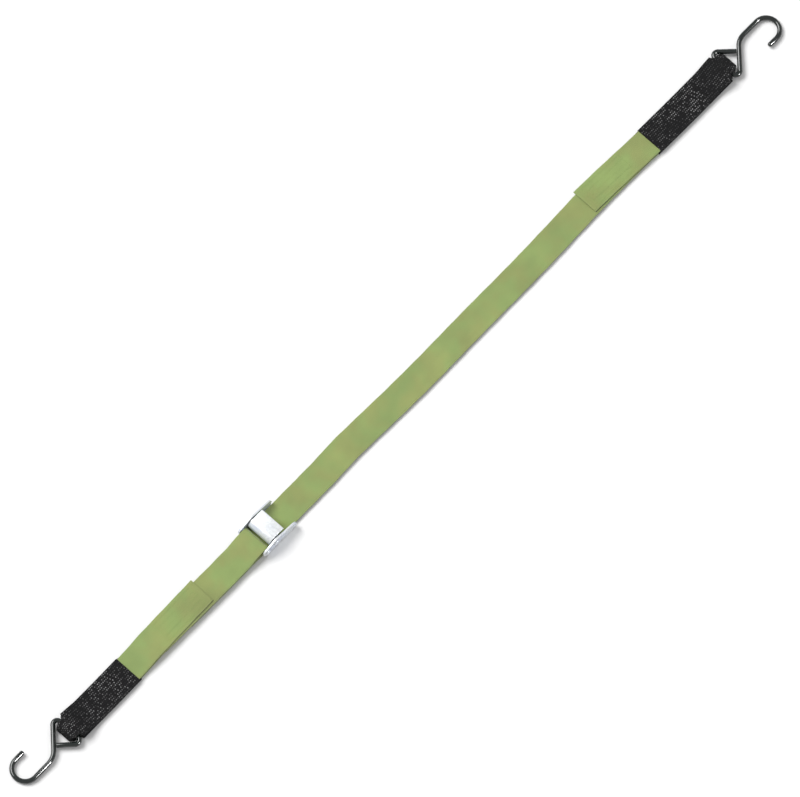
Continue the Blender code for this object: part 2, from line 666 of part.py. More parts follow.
def make_spring(name, side, material, collection):
    """A torsion spring: one leg in the cam's pocket floor, the other in the ear."""
    pocket_floor = CAM_WIDTH / 2 - SPRING_POCKET_DEPTH
    start_y = pocket_floor + SPRING_WIRE / 2 + LAYER_GAP
    start = -math.pi / 2
    sweep = SPRING_TURNS * 2 * math.pi + (SPRING_LEG_ANGLE - start)
    count = round(sweep / math.radians(25))
    points = [(0, start_y - 0.8 * SPRING_SEAT_DEPTH, -SPRING_COIL_RADIUS)]
    for i in range(count + 1):
        angle = start + sweep * i / count
        y = start_y + SPRING_PITCH * (angle - start) / (2 * math.pi)
        points.append((SPRING_COIL_RADIUS * math.cos(angle), y, SPRING_COIL_RADIUS * math.sin(angle)))
    gap_y = CAM_WIDTH / 2 + (FRAME_INNER_WIDTH - CAM_WIDTH) / 4
    leg_x = SPRING_LEG_REACH * math.cos(SPRING_LEG_ANGLE)
    leg_z = SPRING_LEG_REACH * math.sin(SPRING_LEG_ANGLE)
    for y in (gap_y, FRAME_HALF_WIDTH - FRAME_SHEET / 4):
        points.append((leg_x, y, leg_z))
    places = [CAM_PIN + Vector((x, side * y, z)) for x, y, z in points]
    obj = wire(name, places, SPRING_WIRE / 2, 2, collection)
    finish(obj, material, CAM_PIN, 60)
    return obj


# ---- Sewing ------------------------------------------------------------------------
def sewing_rows(start, length, width, rows):
    """A thread's route to and fro over a rectangle, as (x, y)."""
    points = []
    for i in range(rows):
        across = -width / 2 + width * i / (rows - 1)
        ends = (start, start + length) if i % 2 == 0 else (start + length, start)
        points += [(x, across) for x in ends]
    return points


def make_thread(name, route, z, material, collection):
    points = [(x, y, z) for x, y in route]
    obj = wire(name, points, THREAD_DIAMETER / 2, 0, collection)
    finish(obj, material, None, 60)
    return obj


def make_seam(end, side, top_z, under_z, material, collection):
    """The needle thread over a sewn return and the bobbin thread under it."""
    start = end + side * SEAM_MARGIN
    route = sewing_rows(start, side * SEAM_LENGTH, SEAM_WIDTH, SEAM_ROWS)
    lift = WEBBING_THICKNESS / 2 + LAYER_GAP + THREAD_DIAMETER / 2
    name = "upper" if side > 0 else "lower"
    needle = make_thread(name + "_needle_thread", route, top_z + lift, material, collection)
    bobbin = make_thread(name + "_bobbin_thread", route, under_z - lift, material, collection)
    return [needle, bobbin]


def make_tack(side, material, collection):
    """The bar tack across the sleeve that keeps the loop closed behind the bar."""
    middle = side * (BAR_X - TACK_BEHIND_BAR)
    route = sewing_rows(middle - TACK_LENGTH / 2, TACK_LENGTH, TACK_WIDTH, TACK_ROWS)
    sleeve_top = SLEEVE_LEG_Z + SLEEVE_LEG_PITCH + SLEEVE_HALF_HEIGHT
    z = sleeve_top + LAYER_GAP + THREAD_DIAMETER / 2
    name = "upper_sleeve_tack" if side > 0 else "lower_sleeve_tack"
    return make_thread(name, route, z, material, collection)


# ---- Assembly ----------------------------------------------------------------------
def hold_on_pivot(name, place, members, collection):
    """An empty on a joint's axis that carries the pieces which turn together."""
    empty = add_object(name, None, collection)
    empty.location = place
    bpy.context.view_layer.update()
    for obj in members:
        obj.parent = empty
        obj.matrix_parent_inverse = empty.matrix_world.inverted()


def main():
    clear_scene()
    parts = new_collection("cam_buckle_strap")
    cutters = new_collection("cutters")
    green = new_material("green_webbing", GREEN, 0.8, 0)
    green_thread = new_material("green_thread", GREEN, 0.6, 0)
    black = new_material("black_sleeve", BLACK, 0.85, 0)
    black_thread = new_material("black_thread", BLACK, 0.7, 0)
    coated = new_material("coated_steel", COATED_STEEL, 0.3, 0.6)
    zinc = new_material("zinc_plate", ZINC, 0.4, 0.9)
    steel = new_material("spring_steel", SPRING_STEEL, 0.35, 1)

    frame = make_frame(zinc, parts, cutters)
    pins = [turned_pin("anchor_pin", ANCHOR_PIN, parts), turned_pin("cam_pin", CAM_PIN, parts)]
    for pin in pins:
        finish(pin, zinc)
    make_cam(zinc, parts, cutters)
    springs = [
        make_spring("cam_spring_left", -1, steel, parts),
        make_spring("cam_spring_right", 1, steel, parts),
    ]
    hold_on_pivot("buckle", ANCHOR_PIN, [frame, *pins, *springs], parts)

    short = ribbon("short_strap", short_strap_stations(), parts)
    lower_sleeve = flat_tube("lower_sleeve", sleeve_stations(LOWER_SLEEVE_LENGTH, -1), parts)
    finish(short, green)
    finish(lower_sleeve, black)
    lower_end = -(BAR_X + LOOP_END - LOWER_RETURN_LENGTH)
    top_z = BUCKLE_RETURN_Z + 2 * LAYER_PITCH
    lower_seam = make_seam(lower_end, -1, top_z, BUCKLE_RETURN_Z, green_thread, parts)
    lower_tack = make_tack(-1, black_thread, parts)
    hold_on_pivot("short_end", ANCHOR_PIN, [short, lower_sleeve, *lower_seam, lower_tack], parts)
    make_hook("lower_hook", -1, coated, parts)

    long = ribbon("long_strap", long_strap_stations(), parts)
    upper_sleeve = flat_tube("upper_sleeve", sleeve_stations(UPPER_SLEEVE_LENGTH, 1), parts)
    finish(long, green)
    finish(upper_sleeve, black)
    upper_end = BAR_X + LOOP_END - UPPER_RETURN_LENGTH
    top_z = LONG_STRAP_Z + LAYER_PITCH
    upper_seam = make_seam(upper_end, 1, top_z, LONG_STRAP_Z, green_thread, parts)
    upper_tack = make_tack(1, black_thread, parts)
    long_end = Vector((CAM_PIN.x, 0, LONG_STRAP_Z))
    hold_on_pivot("long_end", long_end, [long, upper_sleeve, *upper_seam, upper_tack], parts)
    make_hook("upper_hook", 1, coated, parts)


main()
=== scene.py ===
"""The looks of a cam-buckle tie-down strap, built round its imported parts.

Webbing, black sleeves, coated wire hooks, a zinc-plated buckle and its sewing. Metres, +Z up.
The strap lies along X, the long end at +X, its width along Y.
"""

import json
import math
from contextlib import contextmanager

import bmesh
import bpy
from bpy.props import FloatProperty, FloatVectorProperty, IntProperty, PointerProperty
from mathutils import Matrix, Vector, noise


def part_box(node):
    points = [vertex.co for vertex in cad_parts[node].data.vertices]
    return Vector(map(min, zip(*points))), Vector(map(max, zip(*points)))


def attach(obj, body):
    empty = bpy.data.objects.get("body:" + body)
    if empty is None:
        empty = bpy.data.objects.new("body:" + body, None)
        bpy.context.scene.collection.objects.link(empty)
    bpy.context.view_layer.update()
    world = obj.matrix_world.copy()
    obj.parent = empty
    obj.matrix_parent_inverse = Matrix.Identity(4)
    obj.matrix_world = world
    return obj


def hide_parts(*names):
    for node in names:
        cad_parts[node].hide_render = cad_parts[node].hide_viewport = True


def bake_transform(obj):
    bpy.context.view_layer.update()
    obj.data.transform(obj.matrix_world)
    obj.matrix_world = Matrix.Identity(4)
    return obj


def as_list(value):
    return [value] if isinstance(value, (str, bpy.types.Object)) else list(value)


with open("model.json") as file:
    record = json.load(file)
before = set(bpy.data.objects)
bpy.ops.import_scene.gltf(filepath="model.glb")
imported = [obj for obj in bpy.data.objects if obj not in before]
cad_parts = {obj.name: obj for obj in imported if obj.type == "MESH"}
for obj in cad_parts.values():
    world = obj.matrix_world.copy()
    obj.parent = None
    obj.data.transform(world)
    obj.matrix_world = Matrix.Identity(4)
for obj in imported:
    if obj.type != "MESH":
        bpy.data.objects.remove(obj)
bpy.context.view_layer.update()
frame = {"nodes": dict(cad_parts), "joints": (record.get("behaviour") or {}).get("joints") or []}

bl_info = {
    "name": "Cam-buckle tie-down strap",
    "version": (1, 0, 0),
    "blender": (4, 5, 0),
    "location": "3D View > Sidebar > Tie-down",
    "description": "Models a webbing tie-down with a cam buckle and two wire hooks",
    "category": "Object",
}

MM = 0.001
MERGE_DISTANCE = 0.01 * MM


def pivot(joint):
    """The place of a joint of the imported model."""
    return Vector(next(j["pos_m"] for j in frame["joints"] if j["name"] == joint))


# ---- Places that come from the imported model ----
CAM_PIN = pivot("cam_pivot")
ANCHOR_PIN = pivot("short_strap_pivot")
UPPER_BAR = pivot("upper_hook_pivot")
BAR_X, BAR_Z = UPPER_BAR.x, UPPER_BAR.z
FRAME_LOW, FRAME_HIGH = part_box("buckle_frame")
FRAME_END_X = FRAME_LOW.x
FRAME_LENGTH = FRAME_HIGH.x - FRAME_LOW.x
FRAME_HALF_WIDTH = FRAME_HIGH.y

# ---- Sizes of the webbing and its route ----
LAYER_GAP = 0.3 * MM
SLEEVE_WALL = 0.8 * MM
SLEEVE_SIDE_ROOM = 0.6 * MM
UPPER_SLEEVE_LENGTH = 148 * MM
LOWER_SLEEVE_LENGTH = 118 * MM
SLEEVE_LEG_OVERHANG = 3.5 * MM
UPPER_RETURN_LENGTH = 263 * MM
LOWER_RETURN_LENGTH = 255 * MM
BUCKLE_RETURN_LENGTH = 180 * MM
TAIL_LENGTH = 150 * MM
LOOP_CLEARANCE = 0.5 * MM
LOOP_SLACK = 4 * MM
LOOP_SIDE_ROOM = 0.6 * MM
BAR_SIDE_ROOM = 0.1 * MM
SLEEVE_TAPER = 3.5
NARROWING_LEAD = 2.4 * MM
LOOP_CLOSING = 32 * MM
SLEEVE_LEAD = 30 * MM
MOUTH_STRAIGHT = 4 * MM
ANCHOR_FALL = 34 * MM
TAIL_ROOM = 1.1 * MM
FLOOR_CLEARANCE = 0.2 * MM
FINE, COARSE = 1.6 * MM, 5 * MM  # from one crosswise row of points to the next

# ---- How the webbing and the sleeves lie ----
SLIDE_ROOM = 64 * MM  # webbing this near the buckle is straight, so that it can slide in
ANCHOR_ROOM = 10 * MM
HOOK_ROOM = 60 * MM
SETTLE_LENGTH = 60 * MM
SWAY_WAVES = ((1.0, 10.5, 0.4), (0.35, 27, 1.1))  # share, radians per metre, start
SHORT_SWAY, LONG_SWAY = 0.3, -1.0
SWELL_HEIGHT = 0.28 * MM
SWELL_END_X = 0.42
STRAP_ROWS = 12
SELVAGE_ROUNDING = 0.42 * MM
SELVAGE_RIPPLE, RIPPLE_WAVE = 0.006, 190  # of the half width, radians per metre
SELVAGE_DROP = 0.05 * MM
SLEEVE_CREASE = 0.25 * MM
SLEEVE_CRUMPLE = 0.16 * MM
CRUMPLE_SCALE = 60
MOUTH_ROUNDING = 0.3 * MM

# ---- Sizes of the hooks ----
EYE_BAR_LENGTH = 29.8 * MM
EYE_CORNER_RADIUS = 5.5 * MM
EYE_ARM_ANGLE = math.radians(45)
BOW_RADIUS = 16.75 * MM
BOW_CENTRE_REACH = 73.1 * MM
BOW_CENTRE_OFFSET = 5.3 * MM
BOW_TIP_LENGTH = 14 * MM
SHANK_BEND_RADIUS = 24 * MM
EYE_CLOSING_GAP = 0.3 * MM
WIRE_SIDES = 40
TIP_ROUNDING = 0.8  # of the wire's radius
CUT_ROUNDING = 0.2

# ---- Sizes of the buckle ----
FRAME_SHEET = 2.4 * MM
FRAME_BEND_RADIUS = 1.2 * MM
BASE_REAR = 15 * MM
BASE_FRONT = 51 * MM
EAR_NOSE_RADIUS = 8.5 * MM
EAR_ANCHOR_RADIUS = 7 * MM
EAR_CAM_RADIUS = 9 * MM
HEEL_ROUNDING = 0.02 * MM
EDGE_ROUNDING = 0.35 * MM
PIN_RADIUS = 3 * MM
PIN_CLEARANCE = 0.3 * MM
PIN_HEAD_RADIUS = 4.5 * MM
PIN_HEAD_HEIGHT = 1.1 * MM
PIN_HEAD_ROUNDING = 0.8  # of its height
PIN_RIM = 1.2 * MM
DIMPLE_SLOPE, DIMPLE_DEPTH = 0.5 * MM, 0.35 * MM
CAM_WIDTH = 36 * MM
CAM_DRUM_RADIUS = 9 * MM
CAM_HUB_RADIUS = 8 * MM
CAM_HUB_START = math.radians(22)
CAM_HUB_END = math.radians(36)
CAM_ROOT_FILLET = 2 * MM
CAM_TOOTH_PITCH = math.radians(8)
CAM_TOOTH_COUNT = 6
CAM_TOOTH_DEPTH = 1.0 * MM
CAM_TOOTH_START = math.radians(-12)
CAM_TOOTH_RISE = 1.1 * MM
CAM_CLEARANCE = 0.45 * MM
CAM_EDGE_ROUNDING = 0.3 * MM
LEVER_LENGTH = 17 * MM
LEVER_THICKNESS = 3 * MM
SPRING_POCKET_RADIUS = 6 * MM
SPRING_POCKET_DEPTH = 4.2 * MM
SPRING_LEG_REACH = 7.4 * MM
SPRING_LEG_ANGLE = math.radians(125)
SPRING_HOLE_RADIUS = 0.85 * MM
SPRING_COIL_RADIUS = 4.5 * MM
SPRING_SEAT_DEPTH = 2.5 * MM  # of the leg's hole in the pocket's floor

# ---- Sizes of the sewing ----
SEAM_ROWS = 5
SEAM_WIDTH = 28 * MM
SEAM_LENGTH = 66 * MM
SEAM_MARGIN = 9 * MM
STITCH_GAP = 0.7 * MM
TACK_LENGTH = 4.5 * MM
TACK_WIDTH = 24 * MM
TACK_BEHIND_BAR = 44 * MM
TACK_STITCH_PITCH = 0.62 * MM
STITCH_SLIMMING, STITCH_DIP = 0.45, 0.9  # at a stitch's ends, of its thickness
SEAM_LIFT, TACK_LIFT = 0.12, 0.2  # of the thread, above the cloth

# ---- Sizes of the weaves and threads ----
WARP_PITCH = 0.95 * MM
FLOAT_PITCH = 1.9 * MM
WEBBING_SHARPNESS = 0.55
# Width of the darker band at each cut end: the melted seal, and painted shade where a return's end
# steps down.
SEAL_AND_SHADE_BAND = 0.7 * MM
SLEEVE_YARN_PITCH = 2.6 * MM
SLEEVE_SHARPNESS = 0.8
# How small the sleeve's painted highlight dots on the yarn crests are.
GLINT_DOT_SHARPNESS = 5.5
YARNS_BEFORE = 1000  # keeps the numbers of the yarns above zero
PLY_PITCH = 0.28 * MM


# ---- Properties ----
def length(name, description, default):
    return FloatProperty(name=name, description=description, default=default, min=0, unit="LENGTH")


def colour(name, description, default):
    return FloatVectorProperty(
        name=name, description=description, default=default, min=0, max=1, size=3, subtype="COLOR"
    )


class TieDownSizes(bpy.types.PropertyGroup):
    webbing_width: length("Webbing width", "Width of both green straps", 38 * MM)
    webbing_thickness: length("Webbing thickness", "Thickness of one layer of webbing", 1.4 * MM)
    wire_diameter: length("Wire diameter", "Thickness of the hooks' wire", 6.4 * MM)
    return_skew: length("Return skew", "How far a sewn return's end lies off to one side", 3.6 * MM)
    strap_sway: length("Strap sway", "How far the straps wander from a straight line", 1.6 * MM)
    stitch_length: length("Stitch length", "From one needle hole to the next", 4.1 * MM)
    thread_diameter: length("Thread diameter", "Thickness of the sewing thread", 0.55 * MM)
    wire_steps: IntProperty(
        name="Wire steps", description="Faces along a quarter turn of the wire", default=14, min=4
    )


class TieDownColours(bpy.types.PropertyGroup):
    webbing: colour("Webbing", "Yellow-green polyester", (0.222, 0.306, 0.081))
    webbing_shade: colour("Webbing patches", "The duller patches", (0.241, 0.285, 0.077))
    sleeve: colour("Sleeve", "Near-black tubular webbing", (0.0065, 0.0065, 0.007))
    # The sleeve's glint colour is a painted highlight for the yarn crests.
    sleeve_glint: colour("Sleeve glint", "Crests of the sleeve's yarns", (0.36, 0.36, 0.36))
    coating: colour("Hook coating", "Glossy dark grey-green coat", (0.004, 0.007, 0.0062))
    zinc: colour("Zinc plate", "Bright plated steel", (0.72, 0.745, 0.76))
    spring: colour("Spring steel", "Bare spring wire", (0.45, 0.45, 0.46))
    floor: colour("Floor", "Pale surface that the strap lies on", (0.79, 0.79, 0.79))


def sizes():
    return bpy.context.scene.tie_down_sizes


def colours():
    return bpy.context.scene.tie_down_colours


# ---- Modelling helpers ----
def deselect():
    if bpy.context.mode != "OBJECT":
        bpy.ops.object.mode_set(mode="OBJECT")
    bpy.ops.object.select_all(action="DESELECT")


def activate(*objects):
    """Selects objects and makes the first of them the active one."""
    deselect()
    for obj in objects:
        obj.select_set(True)
    bpy.context.view_layer.objects.active = objects[0]


def joined(objects):
    activate(*objects)
    bpy.ops.object.join()
    return objects[0]


def named(name, scale=(1, 1, 1)):
    """Names the active object, and puts its place, turn and scale into its mesh."""
    obj = bpy.context.object
    obj.name = obj.data.name = name
    obj.scale = scale
    bpy.ops.object.transform_apply(location=True, rotation=True, scale=True)
    return obj


def linked(name, mesh):
    """A new object in the scene for a mesh."""
    obj = bpy.data.objects.new(name, mesh)
    bpy.context.scene.collection.objects.link(obj)
    return obj


@contextmanager
def editing(obj, mode="VERT"):
    """Edit mode with nothing selected, and back again."""
    activate(obj)
    bpy.ops.object.mode_set(mode="EDIT")
    bpy.ops.mesh.select_mode(type=mode)
    bpy.ops.mesh.select_all(action="DESELECT")
    yield
    bpy.ops.object.mode_set(mode="OBJECT")


def select_everything():
    bpy.ops.mesh.select_all(action="SELECT")


def close_mesh():
    """In edit mode, merges points that meet and turns every face outwards."""
    select_everything()
    bpy.ops.mesh.remove_doubles(threshold=MERGE_DISTANCE)
    bpy.ops.mesh.normals_make_consistent(inside=False)


def choose(kind, test):
    """In edit mode, selects the verts, edges or faces that pass a test."""
    data = bpy.context.object.data
    bm = bmesh.from_edit_mesh(data)
    for item in getattr(bm, kind):
        if test(item):
            item.select = True
    bm.select_flush_mode()
    bmesh.update_edit_mesh(data)


def apply_all(obj):
    activate(obj)
    for name in [m.name for m in obj.modifiers]:
        bpy.ops.object.modifier_apply(modifier=name)


def add_modifier(obj, name, kind, **settings):
    made = obj.modifiers.new(name, kind)
    for key, value in settings.items():
        setattr(made, key, value)


def cut(obj, tool, operation="DIFFERENCE"):
    """Cuts a mesh with another one, which is used up."""
    add_modifier(obj, tool.name, "BOOLEAN", operation=operation, object=tool, solver="EXACT")
    apply_all(obj)
    bpy.data.meshes.remove(tool.data)


def round_edges(obj, width, angle):
    """Cleans the faces up and rounds every edge that is sharper than the angle."""
    with editing(obj):
        select_everything()
        bpy.ops.mesh.remove_doubles(threshold=MERGE_DISTANCE)
        bpy.ops.mesh.dissolve_limited(angle_limit=math.radians(0.5))
    add_modifier(
        obj, "Rounding", "BEVEL", width=width, segments=3, limit_method="ANGLE",
        angle_limit=math.radians(angle), use_clamp_overlap=True, harden_normals=False,
    )
    apply_all(obj)


def dress(obj, material, angle):
    """Smooth shading up to an angle, and the finish."""
    activate(obj)
    bpy.ops.object.shade_smooth_by_angle(angle=math.radians(angle))
    obj.data.materials.clear()
    obj.data.materials.append(material)


def finish_piece(obj, material, body, replaces, angle):
    """Shading, finish and place in the frame for a piece that is done."""
    dress(obj, material, angle)
    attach(obj, body)
    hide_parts(*replaces)
    deselect()


def box_tool(name, low, high):
    low, high = Vector(low), Vector(high)
    deselect()
    bpy.ops.mesh.primitive_cube_add(size=1, location=(low + high) / 2)
    return named(name, high - low)


def cross_tool(name, radius, width, place, sides=64):
    """A round bar across the strap."""
    deselect()
    bpy.ops.mesh.primitive_cylinder_add(
        vertices=sides, radius=radius, depth=width, location=place, rotation=(math.pi / 2, 0, 0)
    )
    return named(name)


# ---- Finishes ----
class Finish:
    """A material and short ways to add nodes to it."""

    def __init__(self, name, base, roughness, metallic=0.0, **constants):
        self.material = bpy.data.materials.new(name)
        self.material.use_nodes = True
        self.tree = self.material.node_tree
        self.shader = self.tree.nodes["Principled BSDF"]
        self.shader.inputs["Base Color"].default_value = (*base, 1)
        self.shader.inputs["Roughness"].default_value = roughness
        self.shader.inputs["Metallic"].default_value = metallic
        for key, value in constants.items():
            self.shader.inputs[key.replace("_", " ")].default_value = value

    def node(self, kind, **settings):
        made = self.tree.nodes.new(kind)
        for key, value in settings.items():
            setattr(made, key, value)
        return made

    def link(self, value, socket):
        """Sets a socket to a number, a colour or another node's output."""
        if isinstance(value, bpy.types.NodeSocket):
            self.tree.links.new(value, socket)
        elif hasattr(value, "__len__") and len(value) == 3 and len(socket.default_value) == 4:
            socket.default_value = (*value, 1)
        else:
            socket.default_value = value

    def math(self, operation, a, b=0.0):
        made = self.node("ShaderNodeMath", operation=operation)
        self.link(a, made.inputs[0])
        self.link(b, made.inputs[1])
        return made.outputs[0]

    def times(self, a, b):
        return self.math("MULTIPLY", a, b)

    def plus(self, a, b):
        return self.math("ADD", a, b)

    def mix(self, share, a, b, blend="MIX"):
        made = self.node("ShaderNodeMix", data_type="RGBA", blend_type=blend)
        self.link(share, made.inputs["Factor"])
        self.link(a, made.inputs["A"])
        self.link(b, made.inputs["B"])
        return made.outputs["Result"]

    def span(self, value, low, high, new_low=0.0, new_high=1.0):
        """Maps a range of values onto another range."""
        made = self.node("ShaderNodeMapRange", clamp=True)
        for socket, number in zip(made.inputs, (value, low, high, new_low, new_high)):
            self.link(number, socket)
        return made.outputs[0]

    def noise(self, where, scale, detail=2.0, roughness=0.5):
        made = self.node("ShaderNodeTexNoise")
        self.link(where, made.inputs["Vector"])
        made.inputs["Scale"].default_value = scale
        made.inputs["Detail"].default_value = detail
        made.inputs["Roughness"].default_value = roughness
        return made.outputs["Fac"]

    def stretched(self, where, scale):
        made = self.node("ShaderNodeMapping")
        self.link(where, made.inputs["Vector"])
        made.inputs["Scale"].default_value = scale
        return made.outputs["Vector"]

    def here(self):
        """The piece's own coordinates, in metres."""
        return self.node("ShaderNodeTexCoord").outputs["Object"]

    def cloth(self):
        """Along and across the cloth, in metres, from its own map."""
        found = self.node("ShaderNodeUVMap", uv_map="cloth").outputs["UV"]
        along, across, _ = self.parts(found)
        return found, along, across

    def parts(self, vector):
        made = self.node("ShaderNodeSeparateXYZ")
        self.link(vector, made.inputs[0])
        return made.outputs

    def shaded(self, ground, tone):
        """A colour made lighter or darker by a number."""
        grey = self.node("ShaderNodeCombineColor")
        for socket in grey.inputs[:3]:
            self.link(tone, socket)
        return self.mix(1.0, ground, grey.outputs[0], "MULTIPLY")

    def relief(self, height, distance):
        made = self.node("ShaderNodeBump")
        made.inputs["Distance"].default_value = distance
        self.link(height, made.inputs["Height"])
        self.link(made.outputs["Normal"], self.shader.inputs["Normal"])

    def to(self, socket, value):
        self.link(value, self.shader.inputs[socket])


def wave(f, value, sharpness):
    """A rounded rib for every unit of a value: 0 in the groove and 1 on the crest."""
    swing = f.math("ABSOLUTE", f.math("SINE", f.times(value, math.pi)))
    return f.math("POWER", swing, sharpness)


def staggered(f, column, along, pitch):
    """Counts the floats along a yarn. Every second yarn's are half a float further on."""
    shift = f.times(f.math("MODULO", f.math("FLOOR", column), 2), 0.5)
    return f.plus(f.times(along, 1 / pitch), shift)


def webbing_finish():
    """Polyester tie-down webbing: fine warp ribs, soft patches and a sheen, with painted shade and
    highlights on the weave and darker cut ends that are partly painted shade.
    """
    f = Finish("green_webbing", colours().webbing, 0.72, Sheen_Weight=0.35, Sheen_Roughness=0.45)
    where, along, across = f.cloth()
    column = f.times(across, 1 / WARP_PITCH)
    row = staggered(f, f.plus(column, YARNS_BEFORE), along, FLOAT_PITCH)
    rib = wave(f, column, WEBBING_SHARPNESS)
    height = f.times(rib, wave(f, row, WEBBING_SHARPNESS))
    place = f.here()
    patches = f.noise(place, 26.0, 3.0, 0.55)
    shares = f.span(patches, 0.40, 0.60)
    ground = f.mix(shares, colours().webbing, colours().webbing_shade)
    wash = f.span(f.noise(place, 22.0, 2.0), 0.3, 0.7, 0.89, 1.11)
    streaks = f.span(f.noise(f.stretched(where, (12.0, 900.0, 1.0)), 1.0, 2.0), 0.3, 0.7, 0.98, 1.02)
    tone = f.times(wash, streaks)
    # Painted shade and painted highlight: the colour is 0.62 times as bright in the weave's grooves and
    # 1.14 times as bright on its crests.
    light = f.times(tone, f.span(height, 0.0, 1.0, 0.62, 1.14))
    # Painted shade: the last 0.7 mm at each cut end is made 10% darker, partly for the melted seal and
    # partly for the shade where a sewn return's end steps down.
    end = f.node("ShaderNodeAttribute", attribute_name="from_end").outputs["Fac"]
    seal_and_shade_end = f.math("LESS_THAN", end, SEAL_AND_SHADE_BAND)
    shade = f.times(light, f.span(seal_and_shade_end, 0.0, 1.0, 1.0, 0.90))
    f.to("Base Color", f.shaded(ground, shade))
    f.to("Roughness", f.span(height, 0.0, 1.0, 0.85, 0.62))
    f.relief(f.plus(height, f.times(rib, 0.35)), 0.16 * MM)
    return f.material


def sleeve_finish():
    """Coarse near-black tubular weave, with painted highlights as small light dots on its yarn crests.
    """
    f = Finish("black_sleeve", colours().sleeve, 0.8, Specular_IOR_Level=0.1)
    _, along, across = f.cloth()
    column = f.plus(f.times(across, 1 / SLEEVE_YARN_PITCH), YARNS_BEFORE)
    row = staggered(f, column, along, SLEEVE_YARN_PITCH)
    rib = wave(f, column, SLEEVE_SHARPNESS)
    height = f.times(rib, wave(f, row, SLEEVE_SHARPNESS))
    crossing = f.node("ShaderNodeCombineXYZ")
    f.link(f.math("FLOOR", column), crossing.inputs[0])
    f.link(f.math("FLOOR", row), crossing.inputs[1])
    chance = f.node("ShaderNodeTexWhiteNoise", noise_dimensions="2D")
    f.link(crossing.outputs[0], chance.inputs["Vector"])
    uneven = f.span(f.noise(f.here(), 34.0, 2.0), 0.38, 0.62, 0.15, 1.0)
    # Painted highlight: light dots on the yarn crests, brighter or fainter at random, stand in for the
    # weave's glints.
    glint_strength = f.times(uneven, f.span(chance.outputs["Value"], 0.25, 1.0, 0.0, 1.0))
    painted_glint_dots = f.times(f.math("POWER", height, GLINT_DOT_SHARPNESS), glint_strength)
    f.to("Base Color", f.mix(painted_glint_dots, colours().sleeve, colours().sleeve_glint))
    f.to("Roughness", f.span(height, 0.0, 1.0, 0.9, 0.6))
    f.relief(f.plus(height, f.times(rib, 0.3)), 0.28 * MM)
    return f.material


def thread_finish(name, base, painted_ply_highlight, sheen, specular):
    """Twisted thread: fine slanting plies over a plain colour, with painted highlights on the plies'
    crests.
    """
    f = Finish(
        name, base, 0.6, Sheen_Weight=sheen, Sheen_Roughness=0.4, Specular_IOR_Level=specular
    )
    place = f.here()
    slant = f.node("ShaderNodeVectorRotate", rotation_type="Z_AXIS")
    f.link(place, slant.inputs["Vector"])
    slant.inputs["Angle"].default_value = math.radians(35)
    plies = wave(f, f.times(f.parts(slant.outputs[0])["X"], 1 / PLY_PITCH), 0.7)
    mottle = f.span(f.noise(place, 160.0, 2.0), 0.3, 0.7, 0.0, 0.5)
    # Painted highlight: the plies' crests turn paler in random patches.
    f.to("Base Color", f.mix(f.times(plies, mottle), base, painted_ply_highlight))
    f.to("Roughness", f.span(plies, 0.0, 1.0, 0.7, 0.5))
    f.relief(plies, 0.05 * MM)
    return f.material


def coating_finish():
    """Glossy dark coat on steel wire, a little uneven, scuffed where it rubs."""
    f = Finish(
        "hook_coating", colours().coating, 0.10, 0.0,
        Coat_Weight=0.30, Coat_Roughness=0.05, Specular_IOR_Level=0.50,
    )
    place = f.here()
    fine = f.noise(place, 900.0, 3.0, 0.6)
    broad = f.noise(place, 70.0, 2.0)
    scuffs = f.span(f.noise(f.stretched(place, (1.0, 1.0, 3.0)), 240.0, 4.0, 0.7), 0.63, 0.70)
    worn = f.times(scuffs, f.span(broad, 0.52, 0.62))
    tint = f.mix(f.span(broad, 0.3, 0.7), colours().coating, tuple(1.35 * c for c in colours().coating))
    f.to("Base Color", f.mix(f.times(worn, 0.5), tint, (0.12, 0.125, 0.12)))
    f.to("Roughness", f.plus(f.span(fine, 0.3, 0.7, 0.08, 0.14), f.times(worn, 0.25)))
    f.relief(f.plus(fine, f.times(worn, -0.6)), 0.012 * MM)
    return f.material


def zinc_finish(name, brushed):
    """Bright zinc plate: a faint crystal pattern, rolling marks and a bluish cast in places."""
    f = Finish(name, colours().zinc, 0.36, 0.45)
    place = f.here()
    cells = f.node("ShaderNodeTexVoronoi", feature="F1")
    f.link(place, cells.inputs["Vector"])
    cells.inputs["Scale"].default_value = 420.0
    crystal = f.span(f.parts(cells.outputs["Color"])["X"], 0.0, 1.0, 0.93, 1.05)
    cast = f.span(f.noise(place, 55.0, 2.0), 0.42, 0.66)
    blue = tuple(c * k for c, k in zip(colours().zinc, (0.90, 0.93, 1.04)))
    ground = f.mix(cast, colours().zinc, blue)
    marks = f.noise(f.stretched(place, brushed), 1.0, 3.0, 0.65)
    pits = f.span(f.noise(place, 700.0, 2.0, 0.6), 0.62, 0.74, 1.0, 0.70)
    tone = f.times(f.times(crystal, pits), f.span(marks, 0.3, 0.7, 0.95, 1.04))
    f.to("Base Color", f.shaded(ground, tone))
    f.to("Roughness", f.span(marks, 0.25, 0.75, 0.30, 0.46))
    f.relief(f.plus(f.times(marks, 0.6), f.times(pits, 0.4)), 0.02 * MM)
    return f.material


def spring_finish():
    """Drawn spring wire with fine die lines and a thin oil stain."""
    f = Finish("spring_steel", colours().spring, 0.32, 1.0)
    place = f.here()
    lines = f.noise(f.stretched(place, (300.0, 3000.0, 300.0)), 1.0, 3.0, 0.6)
    stain = f.span(f.noise(place, 180.0, 2.0), 0.45, 0.7)
    f.to("Base Color", f.mix(stain, colours().spring, (0.30, 0.27, 0.22)))
    f.to("Roughness", f.span(lines, 0.3, 0.7, 0.25, 0.45))
    f.relief(lines, 0.01 * MM)
    return f.material


